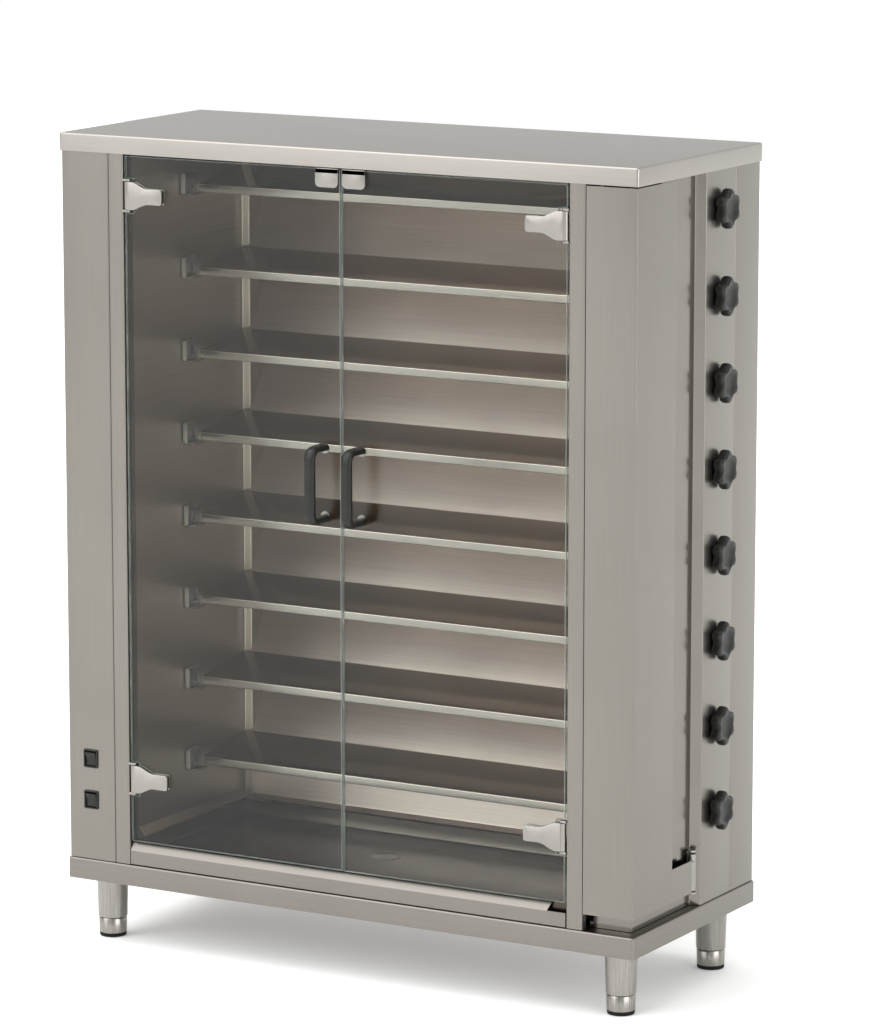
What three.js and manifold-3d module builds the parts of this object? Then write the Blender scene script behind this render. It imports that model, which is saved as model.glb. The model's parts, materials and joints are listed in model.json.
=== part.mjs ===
// Vertical rotisserie broiler: stainless cabinet on four legs, two glass doors,
// eight burner levels, eight chain-driven spit couplings and a drip tray.
// Millimetres, +Z up, front faces -Y. Heights with "above deck" start at the plinth's top.
import * as THREE from 'three';
import { mergeVertices } from 'three/addons/utils/BufferGeometryUtils.js';
import Module from 'manifold-3d';

const wasm = await Module();
wasm.setup();

// ---- overall sizes -------------------------------------------------------
const bodyWidth = 1150;
const bodyDepth = 458;
const bodyHeight = 1285;      // above deck, to the lower edge of the top cover
const capHeight = 32;
const capOverhang = 3;
const plinthHeight = 38;
const legHeight = 115;
const sheet = 1.5;            // stainless sheet
const gap = 0.4;              // between neighbouring pieces
const runGap = 1.5;           // between moving and fixed pieces
const rearLap = 40;           // column casings folded across the back
const sideLap = 14;           // panel edges folded inwards at a seam

// ---- front --------------------------------------------------------------
const columnWidth = 98;       // outer columns left and right
const postWidth = 31;
const postReturn = 30;
const columnReturn = 16;      // left casing's fold beside the post
const glassThickness = 6;
const doorGap = 3;            // between the two doors, and above and below them
const sillHeight = 42;        // above deck
const pivotInset = 9;         // door axis from the post's inner face
const clampHeight = 50;
const clampLength = 84;
const clampTab = 28;
const clampThickness = 4;
const clampBottom = 160;      // clamp centre above deck
const clampTopDrop = 73;      // clamp centre below the body's top
const pinRadius = 2.5;
const knuckleRadius = 6.5;
const lugThickness = 4;
const handleLength = 138;
const handleWidth = 20;
const handleBar = 12;
const handleReach = 50;
const handleInset = 37;       // handle centre from the doors' meeting line
const handleCentre = 734;     // above deck
const handleBend = 14;
const boltInset = 9;          // handle bolts from the handle's ends
const boltRadius = 4;
const washerRadius = 9;
const catchWidth = 46;
const catchHeight = 34;
const catchInset = 27;

// ---- levels: spit, knob and burner hood ----------------------------------
const levelCount = 8;
const topLevelDrop = 71;      // top spit axis below the body's top
const lowLevelRise = 157;     // lowest spit axis above deck
const spitY = -25;
const lipDrop = 6;            // hood lip below the spit axis
const lipY = 18;
const lipHeight = 15;
const hoodRise = 22;
const ridgeY = 161;
const bandRise = 38;           // upright band at a radiant panel's top
const bandDrop = 13;           // the band's top below the ridge above
const panelLean = 0.54;       // depth gained per height
const hoodSheet = 1.2;
const hoodEndInset = 18;      // hood ends from the side walls
const hemDepth = 6;           // fold under the hood's lip
const ridgeLap = 20;          // radiant panel's fold onto the shelf
const panelStep = 40;         // rear lower panel's step back under the last hood
const burnerRadius = 12;
const burnerLift = 20;         // burner axis above the ridge
const burnerSetback = 44;      // burner axis behind the ridge
const railRadius = 10;
const feedRadius = 6;
const valveSize = 24;
const inletDrop = 50;          // gas inlet below the lowest spit axis
const inletReach = 24;         // gas inlet beyond the back

// ---- spit drive -----------------------------------------------------------
const shaftRadius = 8;
const couplingSize = 40;
const couplingReach = 12;
const couplingCorner = 4;
const tongueReach = 14;       // spit rest beyond the coupling's face
const tongueThickness = 3;
const socketSize = 16;
const sprocketTeeth = 10;
const sprocketRadius = 24;
const sprocketThickness = 5;
const sprocketInset = 42;     // sprocket centre behind the wall
const chainThickness = 6;
const motorAxis = 58;         // above deck
const toothDepth = 4;
const hubHalf = 8;            // sprocket hub each way from its centre
const hubRadius = 11;
const motorShaft = 5;
const motorRadius = 27;
const gearboxDepth = 30;
const gearboxWidth = 76;
const gearboxHeight = 68;
const flangeMargin = 10;
const flangeThickness = 3;
const chainWidth = 4;

// ---- right side -----------------------------------------------------------
const coverDepth = 145;
const coverBottom = 30;       // above deck
const bandHeight = 58;
const bandEnd = -9;           // where the lower band stops
const coverPinY = 8;
const coverPinRadius = 5;
const coverPinInset = 9;
const channelDepth = 18;
const stripStart = 25;
const stripEnd = 136;
const stripRise = 8;          // channel's slanted side, along the depth
const knobY = 80;
const knobLift = 4;           // knob axis above the spit axis
const knobRadius = 35;
const knobThickness = 20;
const knobLobes = 6;
const lobeDepth = 8;          // lobe tips above the valleys
const knobStem = 4;
const stemHole = 5;
const stemReach = 25;         // stem's inner end from the side's outer face
const lugHeight = 4;          // side cover's hinge lugs
const railInset = 60;         // gas rail from the body's right side

// ---- switches, tray, legs --------------------------------------------------
const switchLip = 2;                // housing set in from its bezel
const switchWall = 3.5;
const switchWidth = 30;
const switchHeight = 34;
const switchBezel = 2.5;
const switchDepth = 24;
const switchCentres = [111, 187];   // above deck
const switchInset = 47;             // from the body's left side
const rockerTilt = 10;              // degrees at rest
const trayDepth = 42;
const trayFloor = 14;               // above deck
const traySetback = 14;
const lipRun = 9;
const traySlope = 27;               // rolled front lip starts here, above deck
const lipEnd = 32;                  // from the right wall to the lip's cut end
const lipCut = 6;                   // the cut leans by this much
const drainRadius = 26;
const drainPipe = 10;
const dripWidth = 14;               // drip strips along the side walls
const dripLow = 8;                  // above the tray's rim
const dripHigh = 22;
const ventRows = 3;                 // slots in the rear panel
const ventLength = 180;
const ventHeight = 8;
const ventPitch = 260;
const ventRowPitch = 36;
const ventDrop = 70;
const glandInset = 90;              // cable gland from the left side
const glandHeight = 70;             // above deck
const glandRadius = 8;
const legInsetX = 52;
const legInsetY = 58;
const sleeveTop = 28.5;
const sleeveFoot = 26.5;
const footHeight = 36;
const footRadius = 24.5;
const footStem = 14;
const footTravel = 25;
const stemGrip = 20;                // stem still inside the sleeve at full travel

// ---- worked-out places ------------------------------------------------------
const deck = legHeight + plinthHeight;
const bodyTop = deck + bodyHeight;
const capTop = bodyTop + capHeight;
const tuckTop = capTop - sheet - gap;          // casings run up inside the top cover
const halfW = bodyWidth / 2;
const frontY = -bodyDepth / 2;
const backY = bodyDepth / 2;
const postOuter = halfW - columnWidth;
const wallX = postOuter - postWidth;           // inner side walls and door opening
const levelPitch = (bodyHeight - topLevelDrop - lowLevelRise) / (levelCount - 1);
const levels = [];
for (let i = 0; i < levelCount; i += 1) {
  levels.push(bodyTop - topLevelDrop - i * levelPitch);
}
const sprocketX = -wallX - sprocketInset;
const glassFront = frontY;
const glassBack = glassFront + glassThickness;
const pivotY = (glassFront + glassBack) / 2;
const pivotX = wallX - pivotInset;
const railX = halfW - railInset;
const inletZ = bodyTop - topLevelDrop - (levelCount - 1) * levelPitch - inletDrop;
const burnerY = ridgeY + burnerSetback;
const burnerZ = (axisZ) => axisZ - lipDrop + hoodRise + burnerLift;
const clampLevels = [deck + clampBottom, bodyTop - clampTopDrop];

// ---- materials --------------------------------------------------------------
const paint = (color, roughness, metalness, extra = {}) =>
  new THREE.MeshStandardMaterial({ color, roughness, metalness, ...extra });
const brushed = paint(0xb9b5ae, 0.38, 1.0);
const inner = paint(0x8f8a80, 0.25, 1.0);
const mirrorSteel = paint(0x77746e, 0.15, 1.0);
const cast = paint(0x3a3a3c, 0.7, 0.8);
const brass = paint(0xb08d4a, 0.4, 1.0);
const bakelite = paint(0x0d0d0e, 0.45, 0.0);
const glass = paint(0x9fb0ae, 0.03, 0.0, { transparent: true, opacity: 0.25 });

// ---- solid helpers -----------------------------------------------------------
function toSolid(geometry) {
  const bare = geometry.clone();
  bare.deleteAttribute('normal');
  bare.deleteAttribute('uv');
  const merged = mergeVertices(bare, 1e-4);
  return new wasm.Manifold(new wasm.Mesh({
    numProp: 3,
    vertProperties: new Float32Array(merged.attributes.position.array),
    triVerts: new Uint32Array(merged.index.array),
  }));
}

function toGeometry(solid) {
  const mesh = solid.getMesh();
  const geometry = new THREE.BufferGeometry();
  geometry.setAttribute('position', new THREE.BufferAttribute(mesh.vertProperties, 3));
  geometry.setIndex(new THREE.BufferAttribute(mesh.triVerts, 1));
  geometry.computeVertexNormals();
  return geometry;
}

function block(x0, x1, y0, y1, z0, z1) {
  const geometry = new THREE.BoxGeometry(x1 - x0, y1 - y0, z1 - z0);
  geometry.translate((x0 + x1) / 2, (y0 + y1) / 2, (z0 + z1) / 2);
  return toSolid(geometry);
}

const X = new THREE.Vector3(1, 0, 0);
const Y = new THREE.Vector3(0, 1, 0);
const Z = new THREE.Vector3(0, 0, 1);
const frames = {
  x: new THREE.Matrix4().makeBasis(Y, Z, X),   // outline in (y, z), pushed along x
  y: new THREE.Matrix4().makeBasis(Z, X, Y),   // outline in (z, x), pushed along y
  z: new THREE.Matrix4(),                      // outline in (x, y), pushed along z
};

// an outline of [a, b] points pushed along an axis between two places
function prism(outline, axis, from, to) {
  const shape = new THREE.Shape(outline.map(([a, b]) => new THREE.Vector2(a, b)));
  const geometry = new THREE.ExtrudeGeometry(shape, { depth: to - from, bevelEnabled: false });
  geometry.translate(0, 0, from);
  geometry.applyMatrix4(frames[axis]);
  return toSolid(geometry);
}

// folded sheet: a bend line with mitred corners, thickened to its left
function folded(line, thickness, axis, from, to) {
  const inside = line.map(([a, b], i) => {
    const before = line[Math.max(i - 1, 0)];
    const after = line[Math.min(i + 1, line.length - 1)];
    const normals = [];
    if (i > 0) normals.push(leftOf(before, [a, b]));
    if (i < line.length - 1) normals.push(leftOf([a, b], after));
    const n = normals.length === 1
      ? normals[0]
      : normals[0].clone().add(normals[1]).divideScalar(1 + normals[0].dot(normals[1]));
    return [a + n.x * thickness, b + n.y * thickness];
  });
  return prism([...line, ...inside.reverse()], axis, from, to);
}

function leftOf(p, q) {
  return new THREE.Vector2(-(q[1] - p[1]), q[0] - p[0]).normalize();
}

// turned piece: [radius, height] profile about an axis through a centre
function turned(profile, axis, centre, segments = 16) {
  const geometry = new THREE.LatheGeometry(profile.map(([r, h]) => new THREE.Vector2(r, h)), segments);
  geometry.rotateX(Math.PI / 2);
  geometry.applyMatrix4(frames[axis]);
  geometry.translate(...centre);
  return toSolid(geometry);
}

function rod(radius, from, to, axis, centre, segments = 12) {
  return turned([[0, from], [radius, from], [radius, to], [0, to]], axis, centre, segments);
}

function roundedRect(width, height, radius, steps = 4) {
  const points = [];
  for (let corner = 0; corner < 4; corner += 1) {
    const cx = (corner === 0 || corner === 3 ? 1 : -1) * (width / 2 - radius);
    const cy = (corner < 2 ? 1 : -1) * (height / 2 - radius);
    for (let s = 0; s <= steps; s += 1) {
      const angle = (corner + s / steps) * Math.PI / 2;
      points.push([cx + radius * Math.cos(angle), cy + radius * Math.sin(angle)]);
    }
  }
  return points;
}

const shifted = (points, a, b) => points.map(([p, q]) => [p + a, q + b]);
const union = (solids) => solids.reduce((all, one) => all.add(one));
const broiler = new THREE.Group();

function place(name, solid, material) {
  const mesh = new THREE.Mesh(toGeometry(solid), material);
  mesh.name = name;
  broiler.add(mesh);
  return mesh;
}

// ---- top cover and plinth ------------------------------------------------------
function topCover() {
  const w = halfW + capOverhang;
  const d = bodyDepth / 2 + capOverhang;
  const shell = block(-w, w, -d, d, bodyTop, capTop);
  return shell.subtract(block(-w + sheet, w - sheet, -d + sheet, d - sheet, bodyTop - 1, capTop - sheet));
}

function basePlinth() {
  const w = halfW + capOverhang;
  const d = bodyDepth / 2 + capOverhang;
  let plinth = block(-w, w, -d, d, legHeight, deck)
    .subtract(block(-w + sheet, w - sheet, -d + sheet, d - sheet, legHeight - 1, deck - sheet));
  const bore = footStem + runGap / 2;
  for (const [x, y] of legPlaces()) {
    const sleeve = turned([
      [bore, footHeight], [sleeveFoot, footHeight], [sleeveTop, legHeight], [sleeveTop, deck - 1],
      [bore, deck - 1], [bore, footHeight],
    ], 'z', [x, y, 0]);
    plinth = plinth.add(sleeve);
  }
  return plinth;
}

function legPlaces() {
  const x = halfW - legInsetX;
  const y = bodyDepth / 2 - legInsetY;
  return [[-x, -y], [x, -y], [x, y], [-x, y]];
}

function foot([x, y]) {
  const stemTop = footHeight + footTravel + stemGrip;
  return turned([
    [0, 0], [footRadius - 1, 0], [footRadius - 1, 5], [footRadius, 6],
    [sleeveFoot - 1, footHeight - gap], [footStem, footHeight - gap], [footStem, stemTop], [0, stemTop],
  ], 'z', [x, y, 0]);
}

// ---- left column and posts --------------------------------------------------------
function leftCasing() {
  const x0 = -halfW;
  const x1 = -postOuter - gap;
  let casing = folded([
    [x1, frontY + columnReturn], [x1, frontY], [x0, frontY], [x0, backY], [x0 + rearLap, backY],
  ].reverse(), sheet, 'z', deck + 1, tuckTop);
  for (const height of switchCentres) {
    const z = deck + height;
    const w = switchWidth / 2 - switchLip + gap;
    const h = switchHeight / 2 - switchLip + gap;
    const x = -halfW + switchInset;
    casing = casing.subtract(block(x - w, x + w, frontY - 1, frontY + 5, z - h, z + h));
  }
  return casing;
}

// front post beside the door, with the fixed lugs and pins of two door hinges
function doorPost(side) {
  const inner = side * wallX;
  const outer = side * postOuter;
  const line = [[inner, frontY + postReturn], [inner, frontY], [outer, frontY], [outer, frontY + sideLap]];
  let post = folded(side < 0 ? line.reverse() : line, sheet, 'z', deck + 1, tuckTop);
  for (const z of clampLevels) {
    const half = clampHeight / 2 + gap;
    const lug = [inner, side * pivotX].sort((a, b) => a - b);
    for (const base of [z - half - lugThickness, z + half]) {
      post = post.add(block(lug[0], lug[1], pivotY - knuckleRadius + 1, pivotY + knuckleRadius - 1,
        base, base + lugThickness));
      post = post.add(rod(knuckleRadius - 1, base, base + lugThickness, 'z', [side * pivotX, pivotY, 0]));
    }
    post = post.add(rod(pinRadius, z - half - 1, z + half + 1, 'z', [side * pivotX, pivotY, 0], 8));
  }
  return post;
}

function sideWall(side) {
  const x = side * wallX;
  const rear = ridgeY + 2;
  const cheek = x - side * (hoodEndInset - 1);    // closes the burner chamber beside the hoods
  const line = [[x, frontY + postReturn + gap], [x, rear], [cheek, rear], [cheek, backY - 6]];
  let wall = folded(side < 0 ? line : line.reverse(), sheet, 'z', deck + 1, tuckTop);
  const rim = deck + trayDepth;
  const drip = [[rim + dripHigh, x + side], [rim + dripLow, x - side * dripWidth],
    [rim + dripLow - 1, x - side * (dripWidth - 1)], [rim + dripHigh - 2, x + side]];
  wall = wall.add(prism(drip, 'y', frontY + postReturn + gap, ridgeY - 14));
  for (const z of levels) {
    if (side < 0) {
      wall = wall.subtract(rod(shaftRadius + runGap / 2, x - 5, x + 5, 'x', [0, spitY, z]));
    } else {
      wall = wall.add(rod(6, x - 20, x + 1, 'x', [0, spitY, z]));
      wall = wall.subtract(rod(burnerRadius + runGap, cheek - 5, cheek + 5, 'x', [0, burnerY, burnerZ(z)]));
    }
  }
  return wall;
}

// ---- burner hoods ---------------------------------------------------------------
function hood(axisZ) {
  const lip = axisZ - lipDrop;
  const ridge = lip + hoodRise;
  const slope = hoodRise / (ridgeY - lipY);
  const headroom = bodyTop - gap - ridge;
  const rise = Math.min(levelPitch - bandDrop - bandRise, headroom);
  const end = wallX - hoodEndInset;
  const line = [
    [ridgeY + rise * panelLean, ridge + rise], [ridgeY, ridge],
    [ridgeY - ridgeLap, ridge - ridgeLap * slope],
  ];
  if (rise < headroom) {
    line.unshift([ridgeY + rise * panelLean, ridge + rise + bandRise]);
  }
  const radiant = folded(line, hoodSheet, 'x', -end, end);
  const shelfEnd = wallX - gap;
  const shelf = folded([
    [ridgeY, ridge], [lipY, lip], [lipY, lip - lipHeight], [lipY + hemDepth, lip - lipHeight],
  ], hoodSheet, 'x', -shelfEnd, shelfEnd);
  return radiant.add(shelf);
}

function rearLowerPanel() {
  const ridge = levels[levelCount - 1] - lipDrop + hoodRise;
  const end = wallX - hoodEndInset;
  return folded([
    [ridgeY + panelStep, ridge - bandDrop], [ridgeY + panelStep, ridge - bandRise],
    [ridgeY, ridge - bandRise - panelStep], [ridgeY, deck + trayDepth + 14],
    [ridgeY - 10, deck + trayDepth + 6],
  ], hoodSheet, 'x', -end, end);
}

// ---- gas rail, valves and burners, bolted up as one rack ----------------------------
function burnerRack() {
  const half = valveSize / 2;
  let rack = rod(railRadius, inletZ - railRadius, burnerZ(levels[0]) + railRadius, 'z', [railX, knobY, 0]);
  for (const axisZ of levels) {
    const z = burnerZ(axisZ);
    const face = halfW - stemReach - 1;
    rack = rack.add(block(railX - half, face, knobY - half, knobY + half, axisZ - half, z + 8));
    rack = rack.add(rod(feedRadius, knobY, burnerY, 'y', [railX, 0, z], 8));
    rack = rack.add(rod(burnerRadius, -wallX + 26, railX + 10, 'x', [0, burnerY, z], 10));
  }
  return rack.add(rod(railRadius, knobY, backY + inletReach, 'y', [railX, 0, inletZ]));
}

// ---- spit drive ------------------------------------------------------------------
function sprocketOutline(teeth, radius) {
  const points = [];
  for (let i = 0; i < teeth; i += 1) {
    for (const [share, reach] of [[-0.3, -toothDepth], [-0.12, 0], [0.12, 0], [0.3, -toothDepth]]) {
      const angle = (i + share) * 2 * Math.PI / teeth;
      points.push([(radius + reach) * Math.cos(angle), (radius + reach) * Math.sin(angle)]);
    }
  }
  return points;
}

function spitDrive(axisZ) {
  const face = -wallX + couplingReach;
  const size = couplingSize;
  const head = prism(shifted(roundedRect(size, size, couplingCorner, 2), spitY, axisZ), 'x',
    -wallX + runGap, face);
  const foot = axisZ - size / 2;
  const tongue = block(face - 1, face + tongueReach, spitY - size / 2 + couplingCorner,
    spitY + size / 2 - couplingCorner, foot, foot + tongueThickness);
  const shaft = rod(shaftRadius, sprocketX - hubHalf, -wallX + runGap + 1, 'x', [0, spitY, axisZ]);
  const sprocket = prism(shifted(sprocketOutline(sprocketTeeth, sprocketRadius), spitY, axisZ), 'x',
    sprocketX - sprocketThickness / 2, sprocketX + sprocketThickness / 2);
  const half = socketSize / 2;
  const socket = block(-wallX + 3, face + 1, spitY - half, spitY + half, axisZ - half, axisZ + half);
  return union([head, tongue, shaft, sprocket]).subtract(socket);
}

function motorSprocket() {
  const z = deck + motorAxis;
  const wheel = prism(shifted(sprocketOutline(sprocketTeeth, sprocketRadius), spitY, z), 'x',
    sprocketX - sprocketThickness / 2, sprocketX + sprocketThickness / 2);
  const hub = rod(hubRadius, sprocketX - hubHalf, sprocketX + hubHalf, 'x', [0, spitY, z]);
  return wheel.add(hub).subtract(rod(motorShaft + gap, sprocketX - 20, sprocketX + 20, 'x', [0, spitY, z]));
}

function driveChain() {
  const low = deck + motorAxis;
  const track = (radius) => {
    const points = [];
    for (let s = 0; s <= 12; s += 1) {
      const angle = s / 12 * Math.PI;
      points.push([spitY + radius * Math.cos(angle), levels[0] + radius * Math.sin(angle)]);
    }
    for (let s = 0; s <= 12; s += 1) {
      const angle = (1 + s / 12) * Math.PI;
      points.push([spitY + radius * Math.cos(angle), low + radius * Math.sin(angle)]);
    }
    return points;
  };
  const inside = sprocketRadius + gap;
  return prism(track(inside + chainThickness), 'x', sprocketX - chainWidth / 2, sprocketX + chainWidth / 2)
    .subtract(prism(track(inside), 'x', sprocketX - 5, sprocketX + 5));
}

function gearmotor() {
  const z = deck + motorAxis;
  const back = -halfW + sideLap;
  const face = sprocketX - hubHalf - 4;
  const w = gearboxWidth / 2;
  const h = gearboxHeight / 2;
  const m = flangeMargin;
  const gearbox = block(face - gearboxDepth, face, spitY - w, spitY + w, z - h, z + h);
  const flange = block(face - flangeThickness, face, spitY - w - m, spitY + w + m, z - h - m, z + h + m);
  const can = rod(motorRadius, back, face - gearboxDepth + 2, 'x', [0, spitY, z], 20);
  const shaft = rod(motorShaft, face - 1, sprocketX + hubHalf + 2, 'x', [0, spitY, z]);
  return union([gearbox, flange, can, shaft]);
}

// ---- right side --------------------------------------------------------------------
function controlPanel() {
  const pinX = halfW - coverPinInset;
  const inX = halfW - channelDepth;
  const returnY = frontY + postReturn;
  let panel = folded([
    [postOuter + gap, returnY], [inX, returnY], [inX, stripStart - stripRise],
    [halfW, stripStart], [halfW, stripEnd], [halfW - sideLap, stripEnd],
  ], sheet, 'z', deck + 1, tuckTop);
  for (const z of levels) {
    panel = panel.subtract(rod(stemHole, halfW - 6, halfW + 4, 'x', [0, knobY, z + knobLift]));
  }
  const low = deck + coverBottom - 6;
  const high = deck + coverBottom + bandHeight + 11;
  for (const z of [low, high]) {
    panel = panel.add(block(inX - 1, pinX, coverPinY - 5, coverPinY + 5, z, z + lugHeight));
    panel = panel.add(rod(coverPinRadius + 3, z, z + lugHeight, 'z', [pinX, coverPinY, 0]));
  }
  return panel.add(rod(coverPinRadius, low + 1, high + 3, 'z', [pinX, coverPinY, 0]));
}

// L-shaped cover over the right column; its lower band ends in a sleeve on the pin
function rightCover() {
  const low = deck + coverBottom;
  const pinX = halfW - coverPinInset;
  const rear = frontY + coverDepth;
  const sleeveRadius = coverPinRadius + 2.5;
  const leaf = folded([[postOuter + gap + 1, frontY], [halfW, frontY], [halfW, rear]], sheet, 'z', low,
    bodyTop - runGap * 2);
  const band = block(halfW - sheet, halfW, rear - 1, bandEnd, low, low + bandHeight);
  const arm = block(halfW - sheet - 3, halfW - sheet + 0.5, bandEnd - 20, coverPinY - 2, low + 4,
    low + bandHeight - 4);
  const sleeve = rod(sleeveRadius, low, low + bandHeight + 8, 'z', [pinX, coverPinY, 0]);
  const bore = rod(coverPinRadius + gap, low - 5, low + bandHeight + 20, 'z', [pinX, coverPinY, 0]);
  return union([leaf, band, arm, sleeve]).subtract(bore);
}

function rearSidePanel() {
  return folded([
    [halfW - sideLap, stripEnd + gap], [halfW, stripEnd + gap], [halfW, backY],
    [halfW - rearLap, backY],
  ], sheet, 'z', deck + 1, tuckTop);
}

function rearPanel() {
  const w = halfW - rearLap - gap;
  const y = backY - sheet;
  let panel = block(-w, w, y, backY, deck + 1, tuckTop);
  for (let row = 0; row < ventRows; row += 1) {
    for (const x of [-ventPitch, 0, ventPitch]) {
      const z = bodyTop - ventDrop - row * ventRowPitch;
      const reach = ventLength / 2;
      panel = panel.subtract(block(x - reach, x + reach, y - 2, backY + 2, z, z + ventHeight));
    }
  }
  panel = panel.subtract(rod(railRadius + 1, y - 2, backY + 2, 'y', [railX, 0, inletZ]));
  const gland = [-halfW + glandInset, 0, deck + glandHeight];
  return panel.subtract(rod(glandRadius + 0.5, y - 2, backY + 2, 'y', gland));
}

function cableGland() {
  const z = deck + glandHeight;
  const x = -halfW + glandInset;
  const nut = rod(13, backY + gap, backY + 8, 'y', [x, 0, z], 6);
  const dome = turned([[0, 7], [11, 7], [10, 16], [7, 20], [0, 20]].map(([r, h]) => [r, h + backY]),
    'y', [x, 0, z], 16);
  const thread = rod(glandRadius, backY - 12, backY + 2, 'y', [x, 0, z]);
  return union([nut, dome, thread]);
}

// star knob with a dished face, on its stem
function knob(axisZ) {
  const z = axisZ + knobLift;
  const outline = [];
  const steps = knobLobes * 6;
  for (let i = 0; i < steps; i += 1) {
    const angle = i / steps * 2 * Math.PI;
    const radius = knobRadius - lobeDepth / 2 * (1 + Math.cos(knobLobes * angle));
    outline.push([knobY + radius * Math.cos(angle), z + radius * Math.sin(angle)]);
  }
  const from = halfW + 2;
  const to = from + knobThickness;
  const star = prism(outline, 'x', from, to);
  const dish = turned([[0, to - 5], [12, to - 4], [18, to + 1], [0, to + 1]], 'x', [0, knobY, z], 12);
  const stem = rod(knobStem, halfW - stemReach, from + 2, 'x', [0, knobY, z], 8);
  return star.subtract(dish).add(stem);
}

// ---- doors ---------------------------------------------------------------------------
function doorGlass(side) {
  const low = deck + sillHeight + doorGap;
  const high = bodyTop - doorGap;
  const edge = side * (wallX - 4);
  const mid = side * doorGap / 2;
  const [x0, x1] = [edge, mid].sort((a, b) => a - b);
  let pane = block(x0, x1, glassFront, glassBack, low, high);
  for (const z of clampLevels) {
    const notch = clampHeight / 2 + lugThickness + runGap;
    const [n0, n1] = [side * wallX, side * (pivotX - 12)].sort((a, b) => a - b);
    pane = pane.subtract(block(n0, n1, glassFront - 1, glassBack + 1, z - notch, z + notch));
  }
  for (const z of handleBolts()) {
    const centre = [side * handleInset, 0, z];
    pane = pane.subtract(rod(boltRadius + 0.5, glassFront - 1, glassBack + 1, 'y', centre, 12));
  }
  return pane;
}

function handleBolts() {
  const z = deck + handleCentre;
  const half = handleLength / 2 - boltInset;
  return [z - half, z + half];
}

function doorHandle(side) {
  const z = deck + handleCentre;
  const x = side * handleInset;
  const front = glassFront - handleReach;
  const face = glassFront - gap;
  const half = handleLength / 2;
  const bow = (grow, y) => {
    const points = [[y, -half + grow], [y, half - grow]];
    const bend = handleBend - grow;
    for (let s = 0; s <= 4; s += 1) {
      const a = s / 4 * Math.PI / 2;
      points.push([front + grow + bend - bend * Math.sin(a), half - grow - bend + bend * Math.cos(a)]);
    }
    for (let s = 0; s <= 4; s += 1) {
      const a = s / 4 * Math.PI / 2;
      points.push([front + grow + bend - bend * Math.cos(a), -half + grow + bend - bend * Math.sin(a)]);
    }
    return shifted(points, 0, z);
  };
  const w = handleWidth / 2;
  let handle = prism(bow(0, face), 'x', x - w, x + w)
    .subtract(prism(bow(handleBar, face + 5), 'x', x - w - 1, x + w + 1));
  for (const bolt of handleBolts()) {
    handle = handle.add(rod(boltRadius, face - 4, glassBack + gap + 1, 'y', [x, 0, bolt], 8));
    handle = handle.add(rod(washerRadius, glassBack + gap, glassBack + gap + 3, 'y', [x, 0, bolt]));
  }
  return handle;
}

// two shaped plates either side of the glass, joined by the sleeve on the hinge pin
function hingeClamp(side, z) {
  const outline = [];
  const root = pivotX;
  const half = clampHeight / 2;
  const tab = clampTab / 2;
  const tip = pivotX - clampLength + 10;
  const upper = [[root, half], [pivotX - 16, half], [pivotX - 24, half - 4], [pivotX - 36, tab + 3],
    [pivotX - 44, tab], [tip + 5, tab], [tip + 1.5, tab - 2], [tip, tab - 6]];
  for (const [x, h] of upper) outline.push([z + h, side * x]);
  for (const [x, h] of [...upper].reverse()) outline.push([z - h, side * x]);
  if (side > 0) outline.reverse();
  const front = prism(outline, 'y', glassFront - gap - clampThickness, glassFront - gap);
  const back = prism(outline, 'y', glassBack + gap, glassBack + gap + clampThickness);
  const h = half - gap;
  const [w0, w1] = [side * (pivotX - 10), side * pivotX].sort((a, b) => a - b);
  const web = block(w0, w1, glassFront - gap - 1, glassBack + gap + 1, z - h, z + h);
  const knuckle = rod(knuckleRadius, z - h, z + h, 'z', [side * pivotX, pivotY, 0]);
  const bore = rod(pinRadius + gap, z - h - 5, z + h + 5, 'z', [side * pivotX, pivotY, 0]);
  return union([front, back, web, knuckle]).subtract(bore);
}

// clip over the top edge of each pane, held by the magnet behind the top cover's flange
function catchClip(side) {
  const x = side * catchInset;
  const w = catchWidth / 2;
  const high = bodyTop - 1;
  const low = high - catchHeight;
  const outer = block(x - w, x + w, glassFront - gap - 1.5, glassBack + gap + 1.5, low, high);
  const slot = block(x - w - 1, x + w + 1, glassFront - gap, glassBack + gap, low - 1,
    bodyTop - doorGap + gap);
  return outer.subtract(slot);
}

// ---- switches ---------------------------------------------------------------------------
function switchHousing(height) {
  const z = deck + height;
  const x = -halfW + switchInset;
  const w = switchWidth / 2;
  const h = switchHeight / 2;
  const bezel = block(x - w, x + w, frontY - gap - switchBezel, frontY - gap, z - h, z + h);
  const lip = switchLip;
  const wall = switchWall;
  const body = block(x - w + lip, x + w - lip, frontY - 1, frontY + switchDepth, z - h + lip, z + h - lip);
  const well = block(x - w + wall, x + w - wall, frontY - 5, frontY + switchDepth / 2,
    z - h + wall, z + h - wall);
  return bezel.add(body).subtract(well);
}

function rockerKey(height) {
  const w = switchWidth / 2 - 4.2;
  const h = switchHeight / 2 - 5;
  const key = prism([
    [-3.5, -h], [-3.5, h], [3, h], [6, 2], [6, -2], [3, -h],
  ], 'x', -w, w);
  const mesh = place(`rocker_${switchCentres.indexOf(height) + 1}`, key, bakelite);
  mesh.position.set(-halfW + switchInset, frontY + 1.5, deck + height);
  mesh.rotation.x = THREE.MathUtils.degToRad(rockerTilt);
}

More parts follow.
